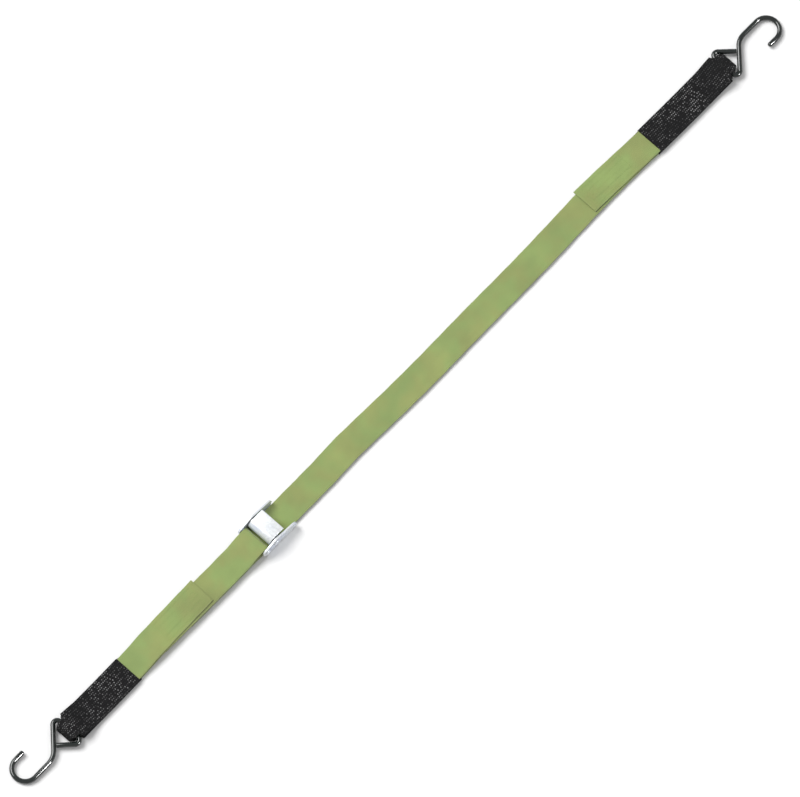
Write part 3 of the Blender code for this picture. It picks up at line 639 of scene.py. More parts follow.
# ---- Webbing routes ----
def ease(x, start, end, low, high):
    """A smooth step in height from low at start to high at end."""
    t = min(max((x - start) / (end - start), 0), 1)
    return low + (high - low) * t * t * (3 - 2 * t)


def spread(start, end, step):
    """Places from start up to, and not counting, end, about a step apart."""
    count = max(round(abs(end - start) / step), 1)
    return [start + (end - start) * i / count for i in range(count)]


def arc(centre, radius, start, end, steps):
    angles = [start + (end - start) * i / steps for i in range(steps + 1)]
    return [(centre[0] + radius * math.cos(a), centre[1] + radius * math.sin(a)) for a in angles]


class Route:
    """The middle line of each strap and sleeve as (reach past the bar, height, half width, skew)."""

    def __init__(self):
        s = sizes()
        self.thick, self.half = s.webbing_thickness, s.webbing_width / 2
        self.wire = s.wire_diameter / 2
        self.pitch = self.thick + LAYER_GAP
        self.sleeve_half_height = self.thick / 2 + LAYER_GAP + SLEEVE_WALL
        self.sleeve_half_width = self.half + SLEEVE_SIDE_ROOM + SLEEVE_WALL
        self.leg_z = self.sleeve_half_height
        self.leg_pitch = 2 * self.sleeve_half_height + LAYER_GAP
        self.long_z = FRAME_SHEET + LAYER_GAP + self.thick / 2
        self.buckle_return_z = self.long_z + self.thick + TAIL_ROOM
        self.loop_radius = self.wire + LOOP_CLEARANCE + self.sleeve_half_height
        self.loop_end = LOOP_SLACK + self.loop_radius + self.sleeve_half_height
        self.anchor_radius = PIN_RADIUS + LAYER_GAP + self.thick / 2

    def sleeve_half(self, reach):
        at_bar = EYE_BAR_LENGTH / 2 - BAR_SIDE_ROOM
        behind_bar = -reach - self.wire - LOOP_CLEARANCE
        if behind_bar > 0:
            return min(self.sleeve_half_width, at_bar + SLEEVE_TAPER * behind_bar)
        turn = math.asin(min(max((reach - LOOP_SLACK) / self.loop_radius, 0), 1))
        outside = self.loop_radius + self.sleeve_half_height
        slack = min(reach, LOOP_SLACK)
        from_bar = math.hypot(slack + outside * math.sin(turn), outside * math.cos(turn))
        gap = (crossing_reach() - from_bar) * math.tan(EYE_ARM_ANGLE)
        return min(at_bar, gap - self.wire / math.cos(EYE_ARM_ANGLE) - LOOP_SIDE_ROOM)

    def webbing_half(self, reach):
        """Narrows a little before the sleeve does, so that it stays inside its slanting wall."""
        room = min(self.sleeve_half(reach), self.sleeve_half(reach + NARROWING_LEAD))
        return min(self.half, room - SLEEVE_WALL - SLEEVE_SIDE_ROOM)

    def top_leg_z(self, reach):
        high, low = BAR_Z + self.loop_radius, self.leg_z + self.leg_pitch
        return ease(-reach, self.wire, self.wire + LOOP_CLOSING, high, low)

    def loop(self, bottom_mouth, top_mouth, half_width):
        """Round the eye's bar, from a reach on the bottom leg to one on the top."""
        closed = -self.wire - LOOP_CLOSING
        near = spread(closed, LOOP_SLACK, FINE)
        bottom = [(u, self.leg_z) for u in spread(bottom_mouth, closed, COARSE) + near]
        bend = arc((LOOP_SLACK, BAR_Z), self.loop_radius, -math.pi / 2, math.pi / 2, 28)
        top = [(u, self.top_leg_z(u)) for u in spread(top_mouth, closed, COARSE) + near]
        return [(u, z, half_width(u), 0.0) for u, z in bottom + bend + top[::-1]]

    def legs(self, low, start, mouth):
        end = mouth - MOUTH_STRAIGHT

        def main(u):
            return ease(u, start, end, low, self.leg_z)

        def back(u):
            return ease(u, start, end, low + self.pitch, self.leg_z + self.leg_pitch)

        return main, back

    def back_layer(self, reaches, height, mouth, end):
        """A sewn return, which drifts off to one side from the sleeve to its end."""
        skew = sizes().return_skew
        return [(u, height(u), self.half, skew * (mouth - u) / (mouth - end)) for u in reaches]

    def long_strap(self):
        """From the tail's end, through the buckle, round the upper bar and back."""
        tail_end = CAM_PIN.x - TAIL_LENGTH - BAR_X
        mouth = self.loop_end - UPPER_SLEEVE_LENGTH - SLEEVE_LEG_OVERHANG
        return_end = self.loop_end - UPPER_RETURN_LENGTH
        step = mouth - MOUTH_STRAIGHT - SLEEVE_LEAD
        main_z, back_z = self.legs(self.long_z, step, mouth)
        ramp = spread(step, mouth, FINE)
        main = [(u, main_z(u), self.half, 0.0) for u in spread(tail_end, step, COARSE) + ramp]
        back = self.back_layer(spread(return_end, step, COARSE) + ramp, back_z, mouth, return_end)
        return placed(main + self.loop(mouth, mouth, self.webbing_half) + back[::-1], 1)

    def short_strap(self):
        """From the end under the seam, round the anchor pin, round the lower bar and back."""
        mouth = self.loop_end - LOWER_SLEEVE_LENGTH - SLEEVE_LEG_OVERHANG
        return_end = self.loop_end - LOWER_RETURN_LENGTH
        anchor = -ANCHOR_PIN.x - BAR_X
        under_end = anchor + BUCKLE_RETURN_LENGTH
        step = under_end + MOUTH_STRAIGHT
        high = self.buckle_return_z + self.pitch
        main_z, back_z = self.legs(high, step, mouth)
        landed = anchor + PIN_RADIUS + ANCHOR_FALL
        top = ANCHOR_PIN.z + self.anchor_radius

        def over_pin(u):
            return ease(u, anchor + PIN_RADIUS, landed, top, high)

        low = [(u, self.buckle_return_z) for u in spread(under_end, landed, COARSE)]
        low += [(u, self.buckle_return_z) for u in spread(landed, anchor, FINE)]
        pin = (anchor, ANCHOR_PIN.z)
        bend = arc(pin, self.anchor_radius, -math.pi / 2, -3 * math.pi / 2, 24)
        main = [(u, over_pin(u)) for u in spread(anchor + PIN_RADIUS, landed, FINE)]
        ramp = spread(step, mouth, FINE)
        main += [(u, main_z(u)) for u in spread(landed, step, COARSE) + ramp]
        wide = [(u, z, self.half, 0.0) for u, z in low + bend + main]
        back = self.back_layer(spread(return_end, step, COARSE) + ramp, back_z, mouth, return_end)
        return placed(wide + self.loop(mouth, mouth, self.webbing_half) + back[::-1], -1)

    def sleeve(self, length_, side):
        mouth = self.loop_end - length_
        return placed(self.loop(mouth - SLEEVE_LEG_OVERHANG, mouth, self.sleeve_half), side)


def crossing_reach():
    """Where the eye's two arms would meet, past the bar."""
    turned = EYE_CORNER_RADIUS * math.sin(EYE_ARM_ANGLE)
    side = EYE_BAR_LENGTH / 2 + EYE_CORNER_RADIUS * math.cos(EYE_ARM_ANGLE)
    return EYE_CORNER_RADIUS + turned + side / math.tan(EYE_ARM_ANGLE)


def placed(stations, side):
    """Stations by reach past a bar, turned into places along X. Side is 1 or -1."""
    return [(side * (BAR_X + u), z, half, skew) for u, z, half, skew in stations]


def settle(x, start, end):
    """0 outside a stretch of the strap and 1 well inside it."""
    rise = ease(x, start, start + SETTLE_LENGTH, 0, 1)
    return rise * ease(x, end - SETTLE_LENGTH, end, 1, 0)


def sway(x):
    """How far the strap's middle lies to one side. It is nothing at the buckle and hooks."""
    wander = sum(share * math.sin(wave_ * x + start) for share, wave_, start in SWAY_WAVES)
    long_side = settle(x, FRAME_END_X + FRAME_LENGTH + SLIDE_ROOM, BAR_X - HOOK_ROOM)
    short_side = settle(x, HOOK_ROOM - BAR_X, FRAME_END_X - ANCHOR_ROOM)
    return sizes().strap_sway * wander * (SHORT_SWAY * short_side + LONG_SWAY * long_side)


def swell(x):
    """Slow rise and fall of the free webbing."""
    free = settle(x, FRAME_END_X + FRAME_LENGTH + SLIDE_ROOM, SWELL_END_X)
    return SWELL_HEIGHT * free * math.sin(76 * x) * math.sin(23 * x + 0.8)


def along_route(stations):
    """Length of the route at each station."""
    lengths = [0.0]
    for a, b in zip(stations, stations[1:]):
        lengths.append(lengths[-1] + math.hypot(b[0] - a[0], b[1] - a[1]))
    return lengths


def sections(stations):
    """At each station its middle, its upward direction in XZ and its half width."""
    found = []
    for i, (x, z, half, skew) in enumerate(stations):
        before, after = stations[max(i - 1, 0)], stations[min(i + 1, len(stations) - 1)]
        run = Vector((after[0] - before[0], 0, after[1] - before[1])).normalized()
        middle = Vector((x, sway(x) + skew, z + swell(x)))
        found.append((middle, Vector((-run.z, 0, run.x)), half))
    return found


def cloth_grid(name, columns, rows):
    """A flat grid whose columns and rows are wrapped on a route afterwards."""
    deselect()
    bpy.ops.mesh.primitive_grid_add(x_subdivisions=columns, y_subdivisions=rows, size=1)
    obj = named(name)
    obj.data.uv_layers[0].name = "cloth"
    return obj


def wrap(obj, columns, rows, place, flat):
    """Moves each point to place(column, row), and its map to flat(column, row)."""
    mesh = obj.data
    cells = [(round((v.co.x + 0.5) * columns), round((v.co.y + 0.5) * rows)) for v in mesh.vertices]
    layer = mesh.uv_layers["cloth"].data
    for loop in mesh.loops:
        layer[loop.index].uv = flat(*cells[loop.vertex_index])
    for vert, cell in zip(mesh.vertices, cells):
        vert.co = place(*cell)
    mesh.update()
    return cells


def flat_strap(name, stations):
    """Webbing of full thickness along a route, with rounded selvages."""
    s = sizes()
    rows = STRAP_ROWS
    lengths, rings = along_route(stations), sections(stations)
    columns = len(stations) - 1
    obj = cloth_grid(name, columns, rows)

    def place(column, row):
        middle, up, half = rings[column]
        across = 2 * row / rows - 1
        edge = 1 + SELVAGE_RIPPLE * math.sin(lengths[column] * RIPPLE_WAVE) * across
        return middle + Vector((0, across * half * edge, 0)) - up * (SELVAGE_DROP * across**2)

    def flat(column, row):
        return lengths[column], (row / rows - 0.5) * s.webbing_width

    cells = wrap(obj, columns, rows, place, flat)
    end = obj.data.attributes.new("from_end", "FLOAT", "POINT")
    end.data.foreach_set("value", [min(lengths[c], lengths[-1] - lengths[c]) for c, _ in cells])
    add_modifier(
        obj, "Thickness", "SOLIDIFY", thickness=s.webbing_thickness, offset=0, use_even_offset=True
    )
    add_modifier(
        obj, "Selvage", "BEVEL", width=SELVAGE_ROUNDING, segments=3, limit_method="ANGLE",
        angle_limit=math.radians(50),
    )
    apply_all(obj)
    return obj, lengths[-1]


def sleeve_profile(half, height):
    """Points round a flat tube's wall, as (across, up)."""
    side = half - height
    flat = [(-side + 2 * side * i / 16, -height) for i in range(16)]
    right = arc((side, 0), height, -math.pi / 2, math.pi / 2, 8)[:-1]
    left = arc((-side, 0), height, math.pi / 2, 3 * math.pi / 2, 8)[:-1]
    return flat + right + [(-y, height) for y, _ in flat] + left


def tube_sleeve(name, stations):
    """Tubular webbing over both layers of a loop, open at its ends."""
    route = Route()
    lengths, rings = along_route(stations), sections(stations)
    wall_height = route.sleeve_half_height - SLEEVE_WALL / 2
    rows = len(sleeve_profile(1, 0.1))
    columns = len(stations) - 1
    girth = 4 * (route.sleeve_half_width - wall_height) + 2 * math.pi * wall_height
    obj = cloth_grid(name, columns, rows)

    def place(column, row):
        middle, up, half = rings[column]
        y, n = sleeve_profile(half - SLEEVE_WALL / 2, wall_height)[row % rows]
        narrowed = 1 - half / route.sleeve_half_width
        fold = SLEEVE_CREASE * narrowed * math.sin(y / half * 9.4 + 0.7) * (1 if n > 0 else 0.4)
        at = Vector((middle.x, y, middle.z)) * CRUMPLE_SCALE
        crumple = SLEEVE_CRUMPLE * noise.noise(at) if abs(n) > 0.9 * wall_height else 0
        return middle + Vector((0, y, 0)) + up * (n + math.copysign(1, n) * (crumple + abs(fold)))

    def flat(column, row):
        return lengths[column], girth * row / rows

    wrap(obj, columns, rows, place, flat)
    with editing(obj):
        close_mesh()
    add_modifier(obj, "Wall", "SOLIDIFY", thickness=SLEEVE_WALL, offset=0, use_even_offset=True)
    add_modifier(
        obj, "Mouth", "BEVEL", width=MOUTH_ROUNDING, segments=2, limit_method="ANGLE",
        angle_limit=math.radians(60),
    )
    apply_all(obj)
    return obj, girth, lengths[-1]


# ---- Hooks ----
def bent_wire(name, radius, start, moves):
    """A round wire in the XY plane. A move is a place to run to, or (centre, turn) to bend by."""
    first = Vector(moves[0]) - Vector(start)
    heading = math.atan2(first.y, first.x)
    deselect()
    bpy.ops.mesh.primitive_circle_add(
        vertices=WIRE_SIDES, radius=radius, fill_type="NOTHING", location=(*start, 0),
        rotation=(0, math.pi / 2, heading),
    )
    obj = named(name)
    here = Vector((*start, 0))
    with editing(obj):
        select_everything()
        for move in moves:
            if isinstance(move[0], tuple):
                centre, turn = Vector((*move[0], 0)), move[1]
                steps = max(round(abs(turn) / (math.pi / 2) * sizes().wire_steps), 3)
                bpy.ops.mesh.spin(steps=steps, angle=-turn, center=centre, axis=(0, 0, 1))
                here = centre + Matrix.Rotation(turn, 3, "Z") @ (here - centre)
            else:
                run = Vector((*move, 0)) - here
                bpy.ops.mesh.extrude_edges_move(TRANSFORM_OT_translate={"value": run})
                here += run
        for rounding, segments in ((TIP_ROUNDING, 7), (CUT_ROUNDING, 3)):
            bpy.ops.mesh.edge_face_add()
            bpy.ops.mesh.bevel(offset=rounding * radius, segments=segments, affect="EDGES")
            bpy.ops.mesh.select_all(action="DESELECT")
            choose("edges", lambda e: e.is_boundary)
        close_mesh()
    return obj


def wire_hook(name, side):
    """A closed eye with its bar across the strap, a bent shank and a round bow."""
    radius = sizes().wire_diameter / 2
    half_bar = EYE_BAR_LENGTH / 2
    crossing = crossing_reach()
    corner = EYE_CORNER_RADIUS * (1 + math.sin(EYE_ARM_ANGLE))
    corner_side = half_bar + EYE_CORNER_RADIUS * math.cos(EYE_ARM_ANGLE)
    back_off = radius + EYE_CLOSING_GAP
    arm_end = (crossing - back_off * math.cos(EYE_ARM_ANGLE), back_off * math.sin(EYE_ARM_ANGLE))
    turn = math.pi / 2 + EYE_ARM_ANGLE

    run = BOW_RADIUS - BOW_CENTRE_OFFSET
    tangent = SHANK_BEND_RADIUS * math.tan(EYE_ARM_ANGLE / 2)
    elbow = crossing + run / math.tan(EYE_ARM_ANGLE)
    bend_centre = (elbow + tangent, run - SHANK_BEND_RADIUS)
    bend_start = (
        bend_centre[0] - SHANK_BEND_RADIUS * math.sin(EYE_ARM_ANGLE),
        bend_centre[1] + SHANK_BEND_RADIUS * math.cos(EYE_ARM_ANGLE),
    )
    bow_centre = (BOW_CENTRE_REACH, -BOW_CENTRE_OFFSET)
    moves = [
        (corner, corner_side),
        ((EYE_CORNER_RADIUS, half_bar), turn),
        (0, -half_bar),
        ((EYE_CORNER_RADIUS, -half_bar), turn),
        bend_start,
        (bend_centre, -EYE_ARM_ANGLE),
        (BOW_CENTRE_REACH, run),
        (bow_centre, -math.pi),
        (BOW_CENTRE_REACH - BOW_TIP_LENGTH, -BOW_CENTRE_OFFSET - BOW_RADIUS),
    ]
    obj = bent_wire(name, radius, arm_end, moves)
    far_reach = BOW_CENTRE_REACH + BOW_RADIUS
    pitch = math.asin((BAR_Z - radius - FLOOR_CLEARANCE) / far_reach)
    obj.location = (side * BAR_X, 0, BAR_Z)
    obj.rotation_euler = (0, pitch, 0 if side > 0 else math.pi)
    activate(obj)
    return named(name)


# ---- Buckle ----
def channel_sheet():
    """The bent sheet's middle surface, from one ear's top to the other's, made solid."""
    bend = FRAME_BEND_RADIUS + FRAME_SHEET / 2
    side = FRAME_HALF_WIDTH - FRAME_SHEET / 2
    top = CAM_PIN.z + EAR_CAM_RADIUS + FRAME_SHEET
    floor = FRAME_SHEET / 2
    middle_x = FRAME_END_X + FRAME_LENGTH / 2
    deselect()
    bpy.ops.mesh.primitive_plane_add(size=1, location=(middle_x, 0, floor))
    obj = named("zinc_frame", (FRAME_LENGTH + 2 * FRAME_SHEET, 2 * (side - bend), 1))
    for across in (-1, 1):
        edge_y = across * (side - bend)
        with editing(obj, "EDGE"):
            choose("edges", lambda e: all(abs(v.co.y - edge_y) < 0.01 * MM for v in e.verts))
            bpy.ops.mesh.spin(
                steps=8, angle=-across * math.pi / 2, center=(0, edge_y, floor + bend), axis=(1, 0, 0)
            )
            rise = top - floor - bend
            bpy.ops.mesh.extrude_edges_move(TRANSFORM_OT_translate={"value": (0, 0, rise)})
    with editing(obj):
        close_mesh()
    add_modifier(obj, "Sheet", "SOLIDIFY", thickness=FRAME_SHEET, offset=0, use_even_offset=True)
    apply_all(obj)
    return obj


def ear_block():
    """A block whose side view is the ears': a hull round three discs and the base's heel."""
    nose = Vector((FRAME_END_X + FRAME_LENGTH - EAR_NOSE_RADIUS, 0, EAR_NOSE_RADIUS))
    heel = Vector((FRAME_END_X + BASE_REAR - FRAME_SHEET, 0, HEEL_ROUNDING))
    width = 4 * FRAME_HALF_WIDTH
    discs = [
        cross_tool("ear_disc", radius, width, centre, 96)
        for centre, radius in (
            (ANCHOR_PIN, EAR_ANCHOR_RADIUS), (CAM_PIN, EAR_CAM_RADIUS),
            (nose, EAR_NOSE_RADIUS), (heel, HEEL_ROUNDING),
        )
    ]
    block = joined(discs)
    with editing(block):
        select_everything()
        bpy.ops.mesh.convex_hull()
    return block


def model_frame():
    """One bent sheet: two ears, an open-ended base plate, and the pins' and springs' holes."""
    frame_obj = channel_sheet()
    cut(frame_obj, ear_block(), "INTERSECT")
    clear = FRAME_HALF_WIDTH - FRAME_SHEET - FRAME_BEND_RADIUS
    above = FRAME_SHEET + 1 * MM
    for start, end in ((-FRAME_SHEET, BASE_REAR), (BASE_FRONT, FRAME_LENGTH + FRAME_SHEET)):
        low = (FRAME_END_X + start, -clear, -FRAME_SHEET)
        high = (FRAME_END_X + end, clear, above)
        cut(frame_obj, box_tool("slot_tool", low, high))
    hole, width = PIN_RADIUS + PIN_CLEARANCE, 3 * FRAME_HALF_WIDTH
    for place in (ANCHOR_PIN, CAM_PIN):
        cut(frame_obj, cross_tool("hole_tool", hole, width, place))
    leg = Vector((math.cos(SPRING_LEG_ANGLE), 0, math.sin(SPRING_LEG_ANGLE))) * SPRING_LEG_REACH
    cut(frame_obj, cross_tool("hole_tool", SPRING_HOLE_RADIUS, width, CAM_PIN + leg, 24))
    round_edges(frame_obj, EDGE_ROUNDING, 35)
    return frame_obj


def model_pin(name, place):
    """A rivet across the frame, each end upset into a low head with a small dimple."""
    shoulder = FRAME_HALF_WIDTH + PIN_CLEARANCE
    pin = cross_tool(name, PIN_RADIUS, 2 * shoulder, place, 48)
    for across in (-1, 1):
        with editing(pin, "FACE"):
            choose("faces", lambda f: f.calc_center_median().y * across > 0.99 * shoulder)
            grow = PIN_HEAD_RADIUS / PIN_RADIUS
            centre = (place.x, across * shoulder, place.z)
            bpy.ops.mesh.extrude_region_move()
            bpy.ops.transform.resize(value=(grow, 1, grow), center_override=centre)
            rise = (0, across * PIN_HEAD_HEIGHT, 0)
            bpy.ops.mesh.extrude_region_move(TRANSFORM_OT_translate={"value": rise})
            rounding = PIN_HEAD_ROUNDING * PIN_HEAD_HEIGHT
            bpy.ops.mesh.bevel(offset=rounding, segments=5, affect="EDGES")
            bpy.ops.mesh.select_all(action="DESELECT")
            choose("faces", lambda f: f.normal.y * across > 0.99 and len(f.verts) > 8)
            bpy.ops.mesh.inset(thickness=PIN_RIM)
            bpy.ops.mesh.inset(thickness=DIMPLE_SLOPE)
            bpy.ops.transform.translate(value=(0, -across * DIMPLE_DEPTH, 0))
    return pin


def tooth_radius(angle):
    span = (CAM_TOOTH_COUNT - 1) * CAM_TOOTH_PITCH + CAM_TOOTH_START
    contact = CAM_PIN.z - Route().long_z - sizes().webbing_thickness / 2 - CAM_CLEARANCE
    return contact + CAM_TOOTH_RISE * angle / span


def cam_outline():
    """The cam and its lever in side view, about the cam pin."""
    top = CAM_DRUM_RADIUS
    under = top - LEVER_THICKNESS
    rounding = LEVER_THICKNESS / 2

    def below(angle, radius):
        return (-radius * math.sin(angle), -radius * math.cos(angle))

    tip = arc((LEVER_LENGTH - rounding, top - rounding), rounding, -math.pi / 2, math.pi / 2, 14)
    teeth = []
    for i in range(CAM_TOOTH_COUNT):
        angle = CAM_TOOTH_START + i * CAM_TOOTH_PITCH
        valley = angle - CAM_TOOTH_PITCH / 2
        teeth.append(below(valley, tooth_radius(valley) - CAM_TOOTH_DEPTH))
        teeth.append(below(angle, tooth_radius(angle)))
    last = CAM_TOOTH_START + (CAM_TOOTH_COUNT - 0.5) * CAM_TOOTH_PITCH
    back = arc((0, 0), CAM_DRUM_RADIUS, math.pi / 2, 3 * math.pi / 2 - last, 44)
    hub = arc((0, 0), CAM_HUB_RADIUS, CAM_HUB_START - math.pi / 2, CAM_HUB_END, 24)
    root_centre = (hub[-1][0] + CAM_ROOT_FILLET, under - CAM_ROOT_FILLET)
    root = arc(root_centre, CAM_ROOT_FILLET, math.radians(150), math.pi / 2, 6)
    return tip + back + teeth[::-1] + hub + root


def drawn_face(name, outline, y):
    """A flat face at y, its outline drawn by running a point round it."""
    deselect()
    x, z = outline[0]
    bpy.ops.mesh.primitive_plane_add(size=1 * MM, location=(x, y, z))
    obj = named(name)
    with editing(obj):
        select_everything()
        bpy.ops.mesh.merge(type="CENTER")
        for (ax, az), (bx, bz) in zip(outline, outline[1:]):
            step = (bx - ax, 0, bz - az)
            bpy.ops.mesh.extrude_region_move(TRANSFORM_OT_translate={"value": step})
        select_everything()
        bpy.ops.mesh.edge_face_add()
    return obj


def model_cam():
    """The toothed cam and its thumb plate in one casting, with the springs' pockets."""
    outline = [(CAM_PIN.x + x, CAM_PIN.z + z) for x, z in cam_outline()]
    cam = drawn_face("zinc_cam", outline, -CAM_WIDTH / 2)
    with editing(cam, "FACE"):
        select_everything()
        bpy.ops.mesh.extrude_region_move(TRANSFORM_OT_translate={"value": (0, CAM_WIDTH, 0)})
        select_everything()
        bpy.ops.mesh.normals_make_consistent(inside=False)
    cut(cam, cross_tool("bore_tool", PIN_RADIUS + PIN_CLEARANCE, 2 * CAM_WIDTH, CAM_PIN))
    for across in (-1, 1):
        face = CAM_PIN + Vector((0, across * CAM_WIDTH / 2, 0))
        cut(cam, cross_tool("pocket_tool", SPRING_POCKET_RADIUS, 2 * SPRING_POCKET_DEPTH, face))
        seat = face - Vector((0, across * SPRING_POCKET_DEPTH, SPRING_COIL_RADIUS))
        cut(cam, cross_tool("seat_tool", SPRING_HOLE_RADIUS, 2 * SPRING_SEAT_DEPTH, seat, 24))
    round_edges(cam, CAM_EDGE_ROUNDING, 28)
    return cam


def copied(node, name):
    """A CAD node's mesh as a piece of its own, with its doubles merged."""
    bpy.context.view_layer.update()
    obj = linked(name, node.data.copy())
    obj.data.name = name
    obj.matrix_world = node.matrix_world
    with editing(obj):
        close_mesh()
    return obj


# ---- Sewing ----
def one_stitch(long, thick):
    """A stitch along X, its ends turned down into the cloth."""
    deselect()
    bpy.ops.mesh.primitive_cylinder_add(
        vertices=8, radius=thick / 2, depth=long, rotation=(0, math.pi / 2, 0)
    )
    stitch = named("stitch")
    with editing(stitch, "EDGE"):
        choose("edges", lambda e: abs(e.verts[0].co.x - e.verts[1].co.x) > long / 2)
        bpy.ops.mesh.subdivide(number_cuts=5)
    for vert in stitch.data.vertices:
        share = abs(vert.co.x) / (long / 2)
        slim = 1 - STITCH_SLIMMING * share**4
        vert.co.y *= slim
        vert.co.z = vert.co.z * slim - thick * STITCH_DIP * share**4
    return stitch


def sew(name, stitch, places):
    """Copies one stitch to each (place, turn) and makes one piece of them. The stitch is used up."""
    made = []
    for place, turn in places:
        obj = linked(name, stitch.data.copy())
        obj.data.transform(Matrix.Translation(place) @ Matrix.Rotation(turn, 4, "Z"))
        made.append(obj)
    seam = joined(made)
    seam.name = seam.data.name = name
    bpy.data.meshes.remove(stitch.data)
    return seam


def seam_places(end, side, skew_at, surface):
    """Where the stitches of a seam go: rows along the strap and one across at each end."""
    s = sizes()
    start = end + side * SEAM_MARGIN
    count = round(SEAM_LENGTH / s.stitch_length)
    pitch = SEAM_LENGTH / count
    places = []
    for row in range(SEAM_ROWS):
        y = -SEAM_WIDTH / 2 + SEAM_WIDTH * row / (SEAM_ROWS - 1)
        for i in range(count):
            x = start + side * pitch * (i + 0.5)
            places.append((Vector((x, y + skew_at(x), surface(x))), 0.0))
    across = round(SEAM_WIDTH / s.stitch_length)
    for x in (start, start + side * SEAM_LENGTH):
        for i in range(across):
            y = -SEAM_WIDTH / 2 + SEAM_WIDTH * (i + 0.5) / across
            places.append((Vector((x, y + skew_at(x), surface(x))), math.pi / 2))
    return places


def model_seam(name, side, above):
    """The stitches on one face of a sewn return."""
    s, route = sizes(), Route()
    back_length = UPPER_RETURN_LENGTH if side > 0 else LOWER_RETURN_LENGTH
    sleeve = UPPER_SLEEVE_LENGTH if side > 0 else LOWER_SLEEVE_LENGTH
    end = side * (BAR_X + route.loop_end - back_length)
    mouth = side * (BAR_X + route.loop_end - sleeve - SLEEVE_LEG_OVERHANG)
    if side > 0:
        low, high = route.long_z, route.long_z + route.pitch
    else:
        low, high = route.buckle_return_z, route.buckle_return_z + 2 * route.pitch
    lift = s.webbing_thickness / 2 + SEAM_LIFT * s.thread_diameter

    def skew_at(x):
        drift = s.return_skew * (mouth - x) / (mouth - end) if above else 0
        return sway(x) + drift

    def surface(x):
        return (high + lift if above else low - lift) + swell(x)

    stitch = one_stitch(s.stitch_length - STITCH_GAP, s.thread_diameter)
    if not above:
        stitch.data.transform(Matrix.Scale(-1, 4, (0, 0, 1)))
        stitch.data.flip_normals()
    return sew(name, stitch, seam_places(end, side, skew_at, surface))


def model_tack(name, side):
    """Close black zigzag stitches across the sleeve, just behind the eye."""
    s, route = sizes(), Route()
    middle = side * (BAR_X - TACK_BEHIND_BAR)
    z = route.leg_z + route.leg_pitch + route.sleeve_half_height + TACK_LIFT * s.thread_diameter
    count = round(TACK_WIDTH / TACK_STITCH_PITCH)
    lean = math.atan2(TACK_STITCH_PITCH, TACK_LENGTH)
    places = []
    for i in range(count):
        y = -TACK_WIDTH / 2 + TACK_WIDTH * (i + 0.5) / count
        places.append((Vector((middle, y, z)), lean if i % 2 else -lean))
    return sew(name, one_stitch(TACK_LENGTH, s.thread_diameter), places)


# ---- Operators ----
class BuildHooks(bpy.types.Operator):
    """Models the two wire hooks"""

    bl_idname = "tie_down.hooks"
    bl_label = "Wire hooks"

    def execute(self, context):
        coat = coating_finish()
        for name, side in (("lower", -1), ("upper", 1)):
            hook = wire_hook(f"{name}_wire_hook", side)
            finish_piece(hook, coat, f"{name}_hook", [f"{name}_hook"], 40)
        return {"FINISHED"}


class BuildStraps(bpy.types.Operator):
    """Models the long and the short strap of green webbing"""

    bl_idname = "tie_down.straps"
    bl_label = "Webbing straps"

    def execute(self, context):
        route, cloth = Route(), webbing_finish()
        made = {
            "long": (route.long_strap(), ["zinc_frame", "upper_wire_hook"]),
            "short": (route.short_strap(), ["zinc_anchor_pin", "lower_wire_hook"]),
        }
        for name, (stations, rests_on) in made.items():
            strap, cut_length = flat_strap(f"{name}_webbing", stations)
            finish_piece(strap, cloth, f"{name}_end", [f"{name}_strap"], 50)
            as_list(rests_on)
        return {"FINISHED"}


class BuildSleeves(bpy.types.Operator):
    """Models the two black sleeves over the straps' hook loops"""

    bl_idname = "tie_down.sleeves"
    bl_label = "Black sleeves"

    def execute(self, context):
        route, cloth = Route(), sleeve_finish()
        for name, body, side, reach in (
            ("lower", "short_end", -1, LOWER_SLEEVE_LENGTH),
            ("upper", "long_end", 1, UPPER_SLEEVE_LENGTH),
        ):
            made = tube_sleeve(f"{name}_black_sleeve", route.sleeve(reach, side))
            sleeve, girth, cut_length = made
            finish_piece(sleeve, cloth, body, [f"{name}_sleeve"], 50)
        return {"FINISHED"}


class BuildSewing(bpy.types.Operator):
    """Models the seams' stitches and the sleeves' bar tacks"""

    bl_idname = "tie_down.sewing"
    bl_label = "Seams and bar tacks"

    def execute(self, context):
        # The third colour of each thread is its painted highlight on the plies' crests.
        green = thread_finish("green_thread", colours().webbing, (0.25, 0.33, 0.095), 0.2, 0.3)
        black = thread_finish("black_thread", colours().sleeve, (0.018, 0.018, 0.018), 0.0, 0.1)
        for name, body, side in (("lower", "short_end", -1), ("upper", "long_end", 1)):
            for thread, above in (("needle", True), ("bobbin", False)):
                seam = model_seam(f"{name}_{thread}_stitches", side, above)
                node = f"{name}_{thread}_thread"
                finish_piece(seam, green, body, [node], 60)
            tack = model_tack(f"{name}_bar_tack", side)
            finish_piece(tack, black, body, [f"{name}_sleeve_tack"], 60)
        return {"FINISHED"}


class BuildFrame(bpy.types.Operator):
    """Models the buckle's bent frame and its two riveted pins"""

    bl_idname = "tie_down.frame"
    bl_label = "Buckle frame and pins"

    def execute(self, context):
        plate = zinc_finish("zinc_plate", (40.0, 900.0, 900.0))
        turned = zinc_finish("zinc_pin", (900.0, 60.0, 900.0))
        finish_piece(model_frame(), plate, "buckle", ["buckle_frame"], 40)
        for name, place in (("anchor_pin", ANCHOR_PIN), ("cam_pin", CAM_PIN)):
            pin = model_pin(f"zinc_{name}", place)
            finish_piece(pin, turned, "buckle", [name], 40)
        return {"FINISHED"}


class BuildCam(bpy.types.Operator):
    """Models the toothed cam with its thumb plate"""

    bl_idname = "tie_down.cam"
    bl_label = "Cam lever"

    def execute(self, context):
        cast = zinc_finish("zinc_cast", (700.0, 60.0, 700.0))
        finish_piece(model_cam(), cast, "cam", ["cam_lever"], 40)
        return {"FINISHED"}


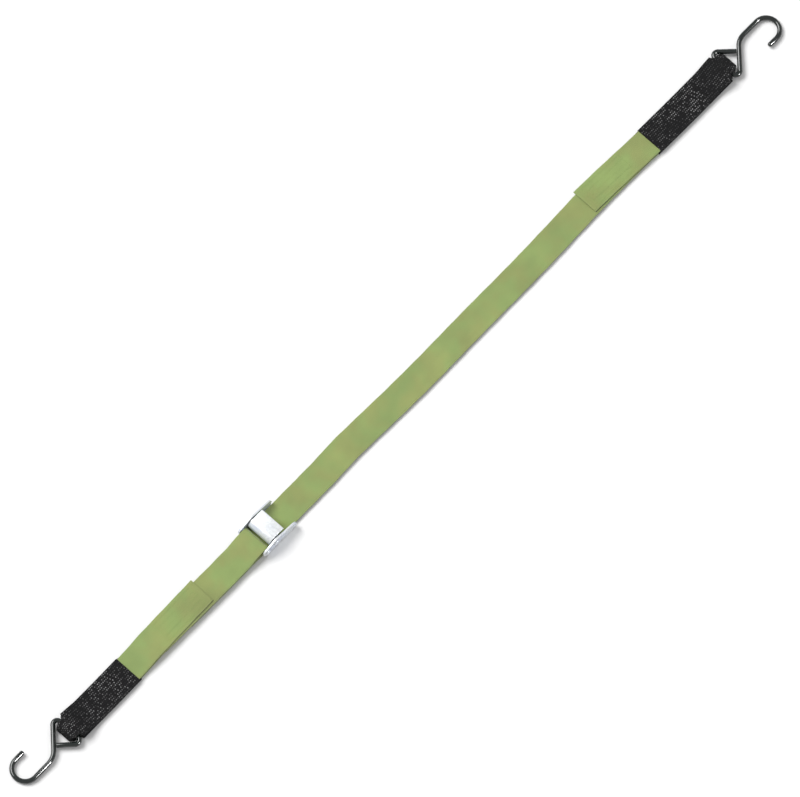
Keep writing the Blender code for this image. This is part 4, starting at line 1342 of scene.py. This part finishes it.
class BuildSprings(bpy.types.Operator):
    """Copies the two cam springs, whose coils wind between the cam and the ear"""

    bl_idname = "tie_down.springs"
    bl_label = "Cam springs"

    def execute(self, context):
        steel = spring_finish()
        for name, across in (("left", -1), ("right", 1)):
            node = f"cam_spring_{name}"
            spring = copied(frame["nodes"][node], f"steel_spring_{name}")
            dress(spring, steel, 60)
            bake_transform(spring)
            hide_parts(node)
            deselect()
        return {"FINISHED"}


# ---- Stage ----
CAMERA_TILT = math.radians(20)  # from straight down
STRAP_TURN = math.radians(47.14)  # from the strap's direction to the view's right
CAMERA_DISTANCE = 20.0
LENS = 724.6  # mm, on a 36 mm sensor
AIM_RIGHT, AIM_UP = 1.3 * MM, -1.5 * MM
FLOOR_Z, FLOOR_SIZE = -0.15 * MM, 60
ROOM_STRENGTH = 0.60
KEY_FROM, KEY_SPREAD, KEY_STRENGTH = (-0.17, 0.592, 0.788), math.radians(38), 3.1
GLINT_FROM, GLINT_SPREAD, GLINT_STRENGTH = (0.225, -0.753, 0.618), math.radians(11), 4.5


def view_axes():
    """The view's right and up, and the way back to the camera."""
    right = Vector((math.cos(STRAP_TURN), -math.sin(STRAP_TURN), 0))
    away = Vector((math.sin(STRAP_TURN), math.cos(STRAP_TURN), 0))
    back = -away * math.sin(CAMERA_TILT) + Vector((0, 0, math.cos(CAMERA_TILT)))
    return right, back.cross(right), back


def add_sun(name, towards, spread_angle, strength, on_matt):
    """A far, round light in a direction, as wide as its angle. It may light matt faces or not."""
    deselect()
    bpy.ops.object.light_add(type="SUN", location=(0, 0, 3))
    lamp = bpy.context.object
    lamp.name = lamp.data.name = name
    lamp.data.angle, lamp.data.energy = spread_angle, strength
    lamp.visible_diffuse = on_matt
    lamp.rotation_euler = (-Vector(towards)).to_track_quat("-Z", "Y").to_euler()


def floor_finish():
    f = Finish("pale_floor", colours().floor, 0.75)
    tone = f.span(f.noise(f.here(), 3.0, 3.0), 0.3, 0.7, 0.985, 1.0)
    f.to("Base Color", f.shaded(colours().floor, tone))
    return f.material


class BuildStage(bpy.types.Operator):
    """Sets the floor, the lights and the camera"""

    bl_idname = "tie_down.stage"
    bl_label = "Floor, lights and camera"

    def execute(self, context):
        deselect()
        bpy.ops.mesh.primitive_plane_add(size=FLOOR_SIZE, location=(0, 0, FLOOR_Z))
        floor = named("floor")
        floor.data.materials.append(floor_finish())

        world = bpy.data.worlds.new("pale_room")
        world.use_nodes = True
        room = world.node_tree.nodes["Background"].inputs
        room["Color"].default_value = (1, 1, 1, 1)
        room["Strength"].default_value = ROOM_STRENGTH
        context.scene.world = world
        add_sun("key", KEY_FROM, KEY_SPREAD, KEY_STRENGTH, True)
        add_sun("glint", GLINT_FROM, GLINT_SPREAD, GLINT_STRENGTH, False)
        context.scene.view_settings.view_transform = "Standard"

        right, up, back = view_axes()
        aim = right * AIM_RIGHT + up * AIM_UP
        bpy.ops.object.camera_add(location=aim + back * CAMERA_DISTANCE)
        camera = context.object
        camera.name = "camera"
        camera.rotation_euler = Matrix((right, up, back)).transposed().to_euler()
        camera.data.lens = LENS
        camera.data.clip_start, camera.data.clip_end = 0.1, 100
        context.scene.camera = camera
        return {"FINISHED"}


OPERATORS = (
    BuildFrame, BuildCam, BuildSprings, BuildHooks, BuildSewing, BuildStraps, BuildSleeves, BuildStage
)


class TieDownPanel(bpy.types.Panel):
    """Sizes, colours and pieces of the tie-down"""

    bl_idname = "VIEW3D_PT_tie_down"
    bl_label = "Tie-down"
    bl_space_type = "VIEW_3D"
    bl_region_type = "UI"
    bl_category = "Tie-down"

    def draw(self, context):
        for group in (context.scene.tie_down_sizes, context.scene.tie_down_colours):
            box = self.layout.box()
            for name in group.__annotations__:
                box.prop(group, name)
        for operator in OPERATORS:
            self.layout.operator(operator.bl_idname)


CLASSES = (TieDownSizes, TieDownColours, *OPERATORS, TieDownPanel)


def register():
    for cls in CLASSES:
        bpy.utils.register_class(cls)
    bpy.types.Scene.tie_down_sizes = PointerProperty(type=TieDownSizes)
    bpy.types.Scene.tie_down_colours = PointerProperty(type=TieDownColours)


def unregister():
    del bpy.types.Scene.tie_down_colours
    del bpy.types.Scene.tie_down_sizes
    for cls in reversed(CLASSES):
        bpy.utils.unregister_class(cls)


def main():
    register()
    for operator in OPERATORS:
        group, name = operator.bl_idname.split(".")
        getattr(getattr(bpy.ops, group), name)()
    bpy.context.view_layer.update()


if __name__ == "__main__":
    main()
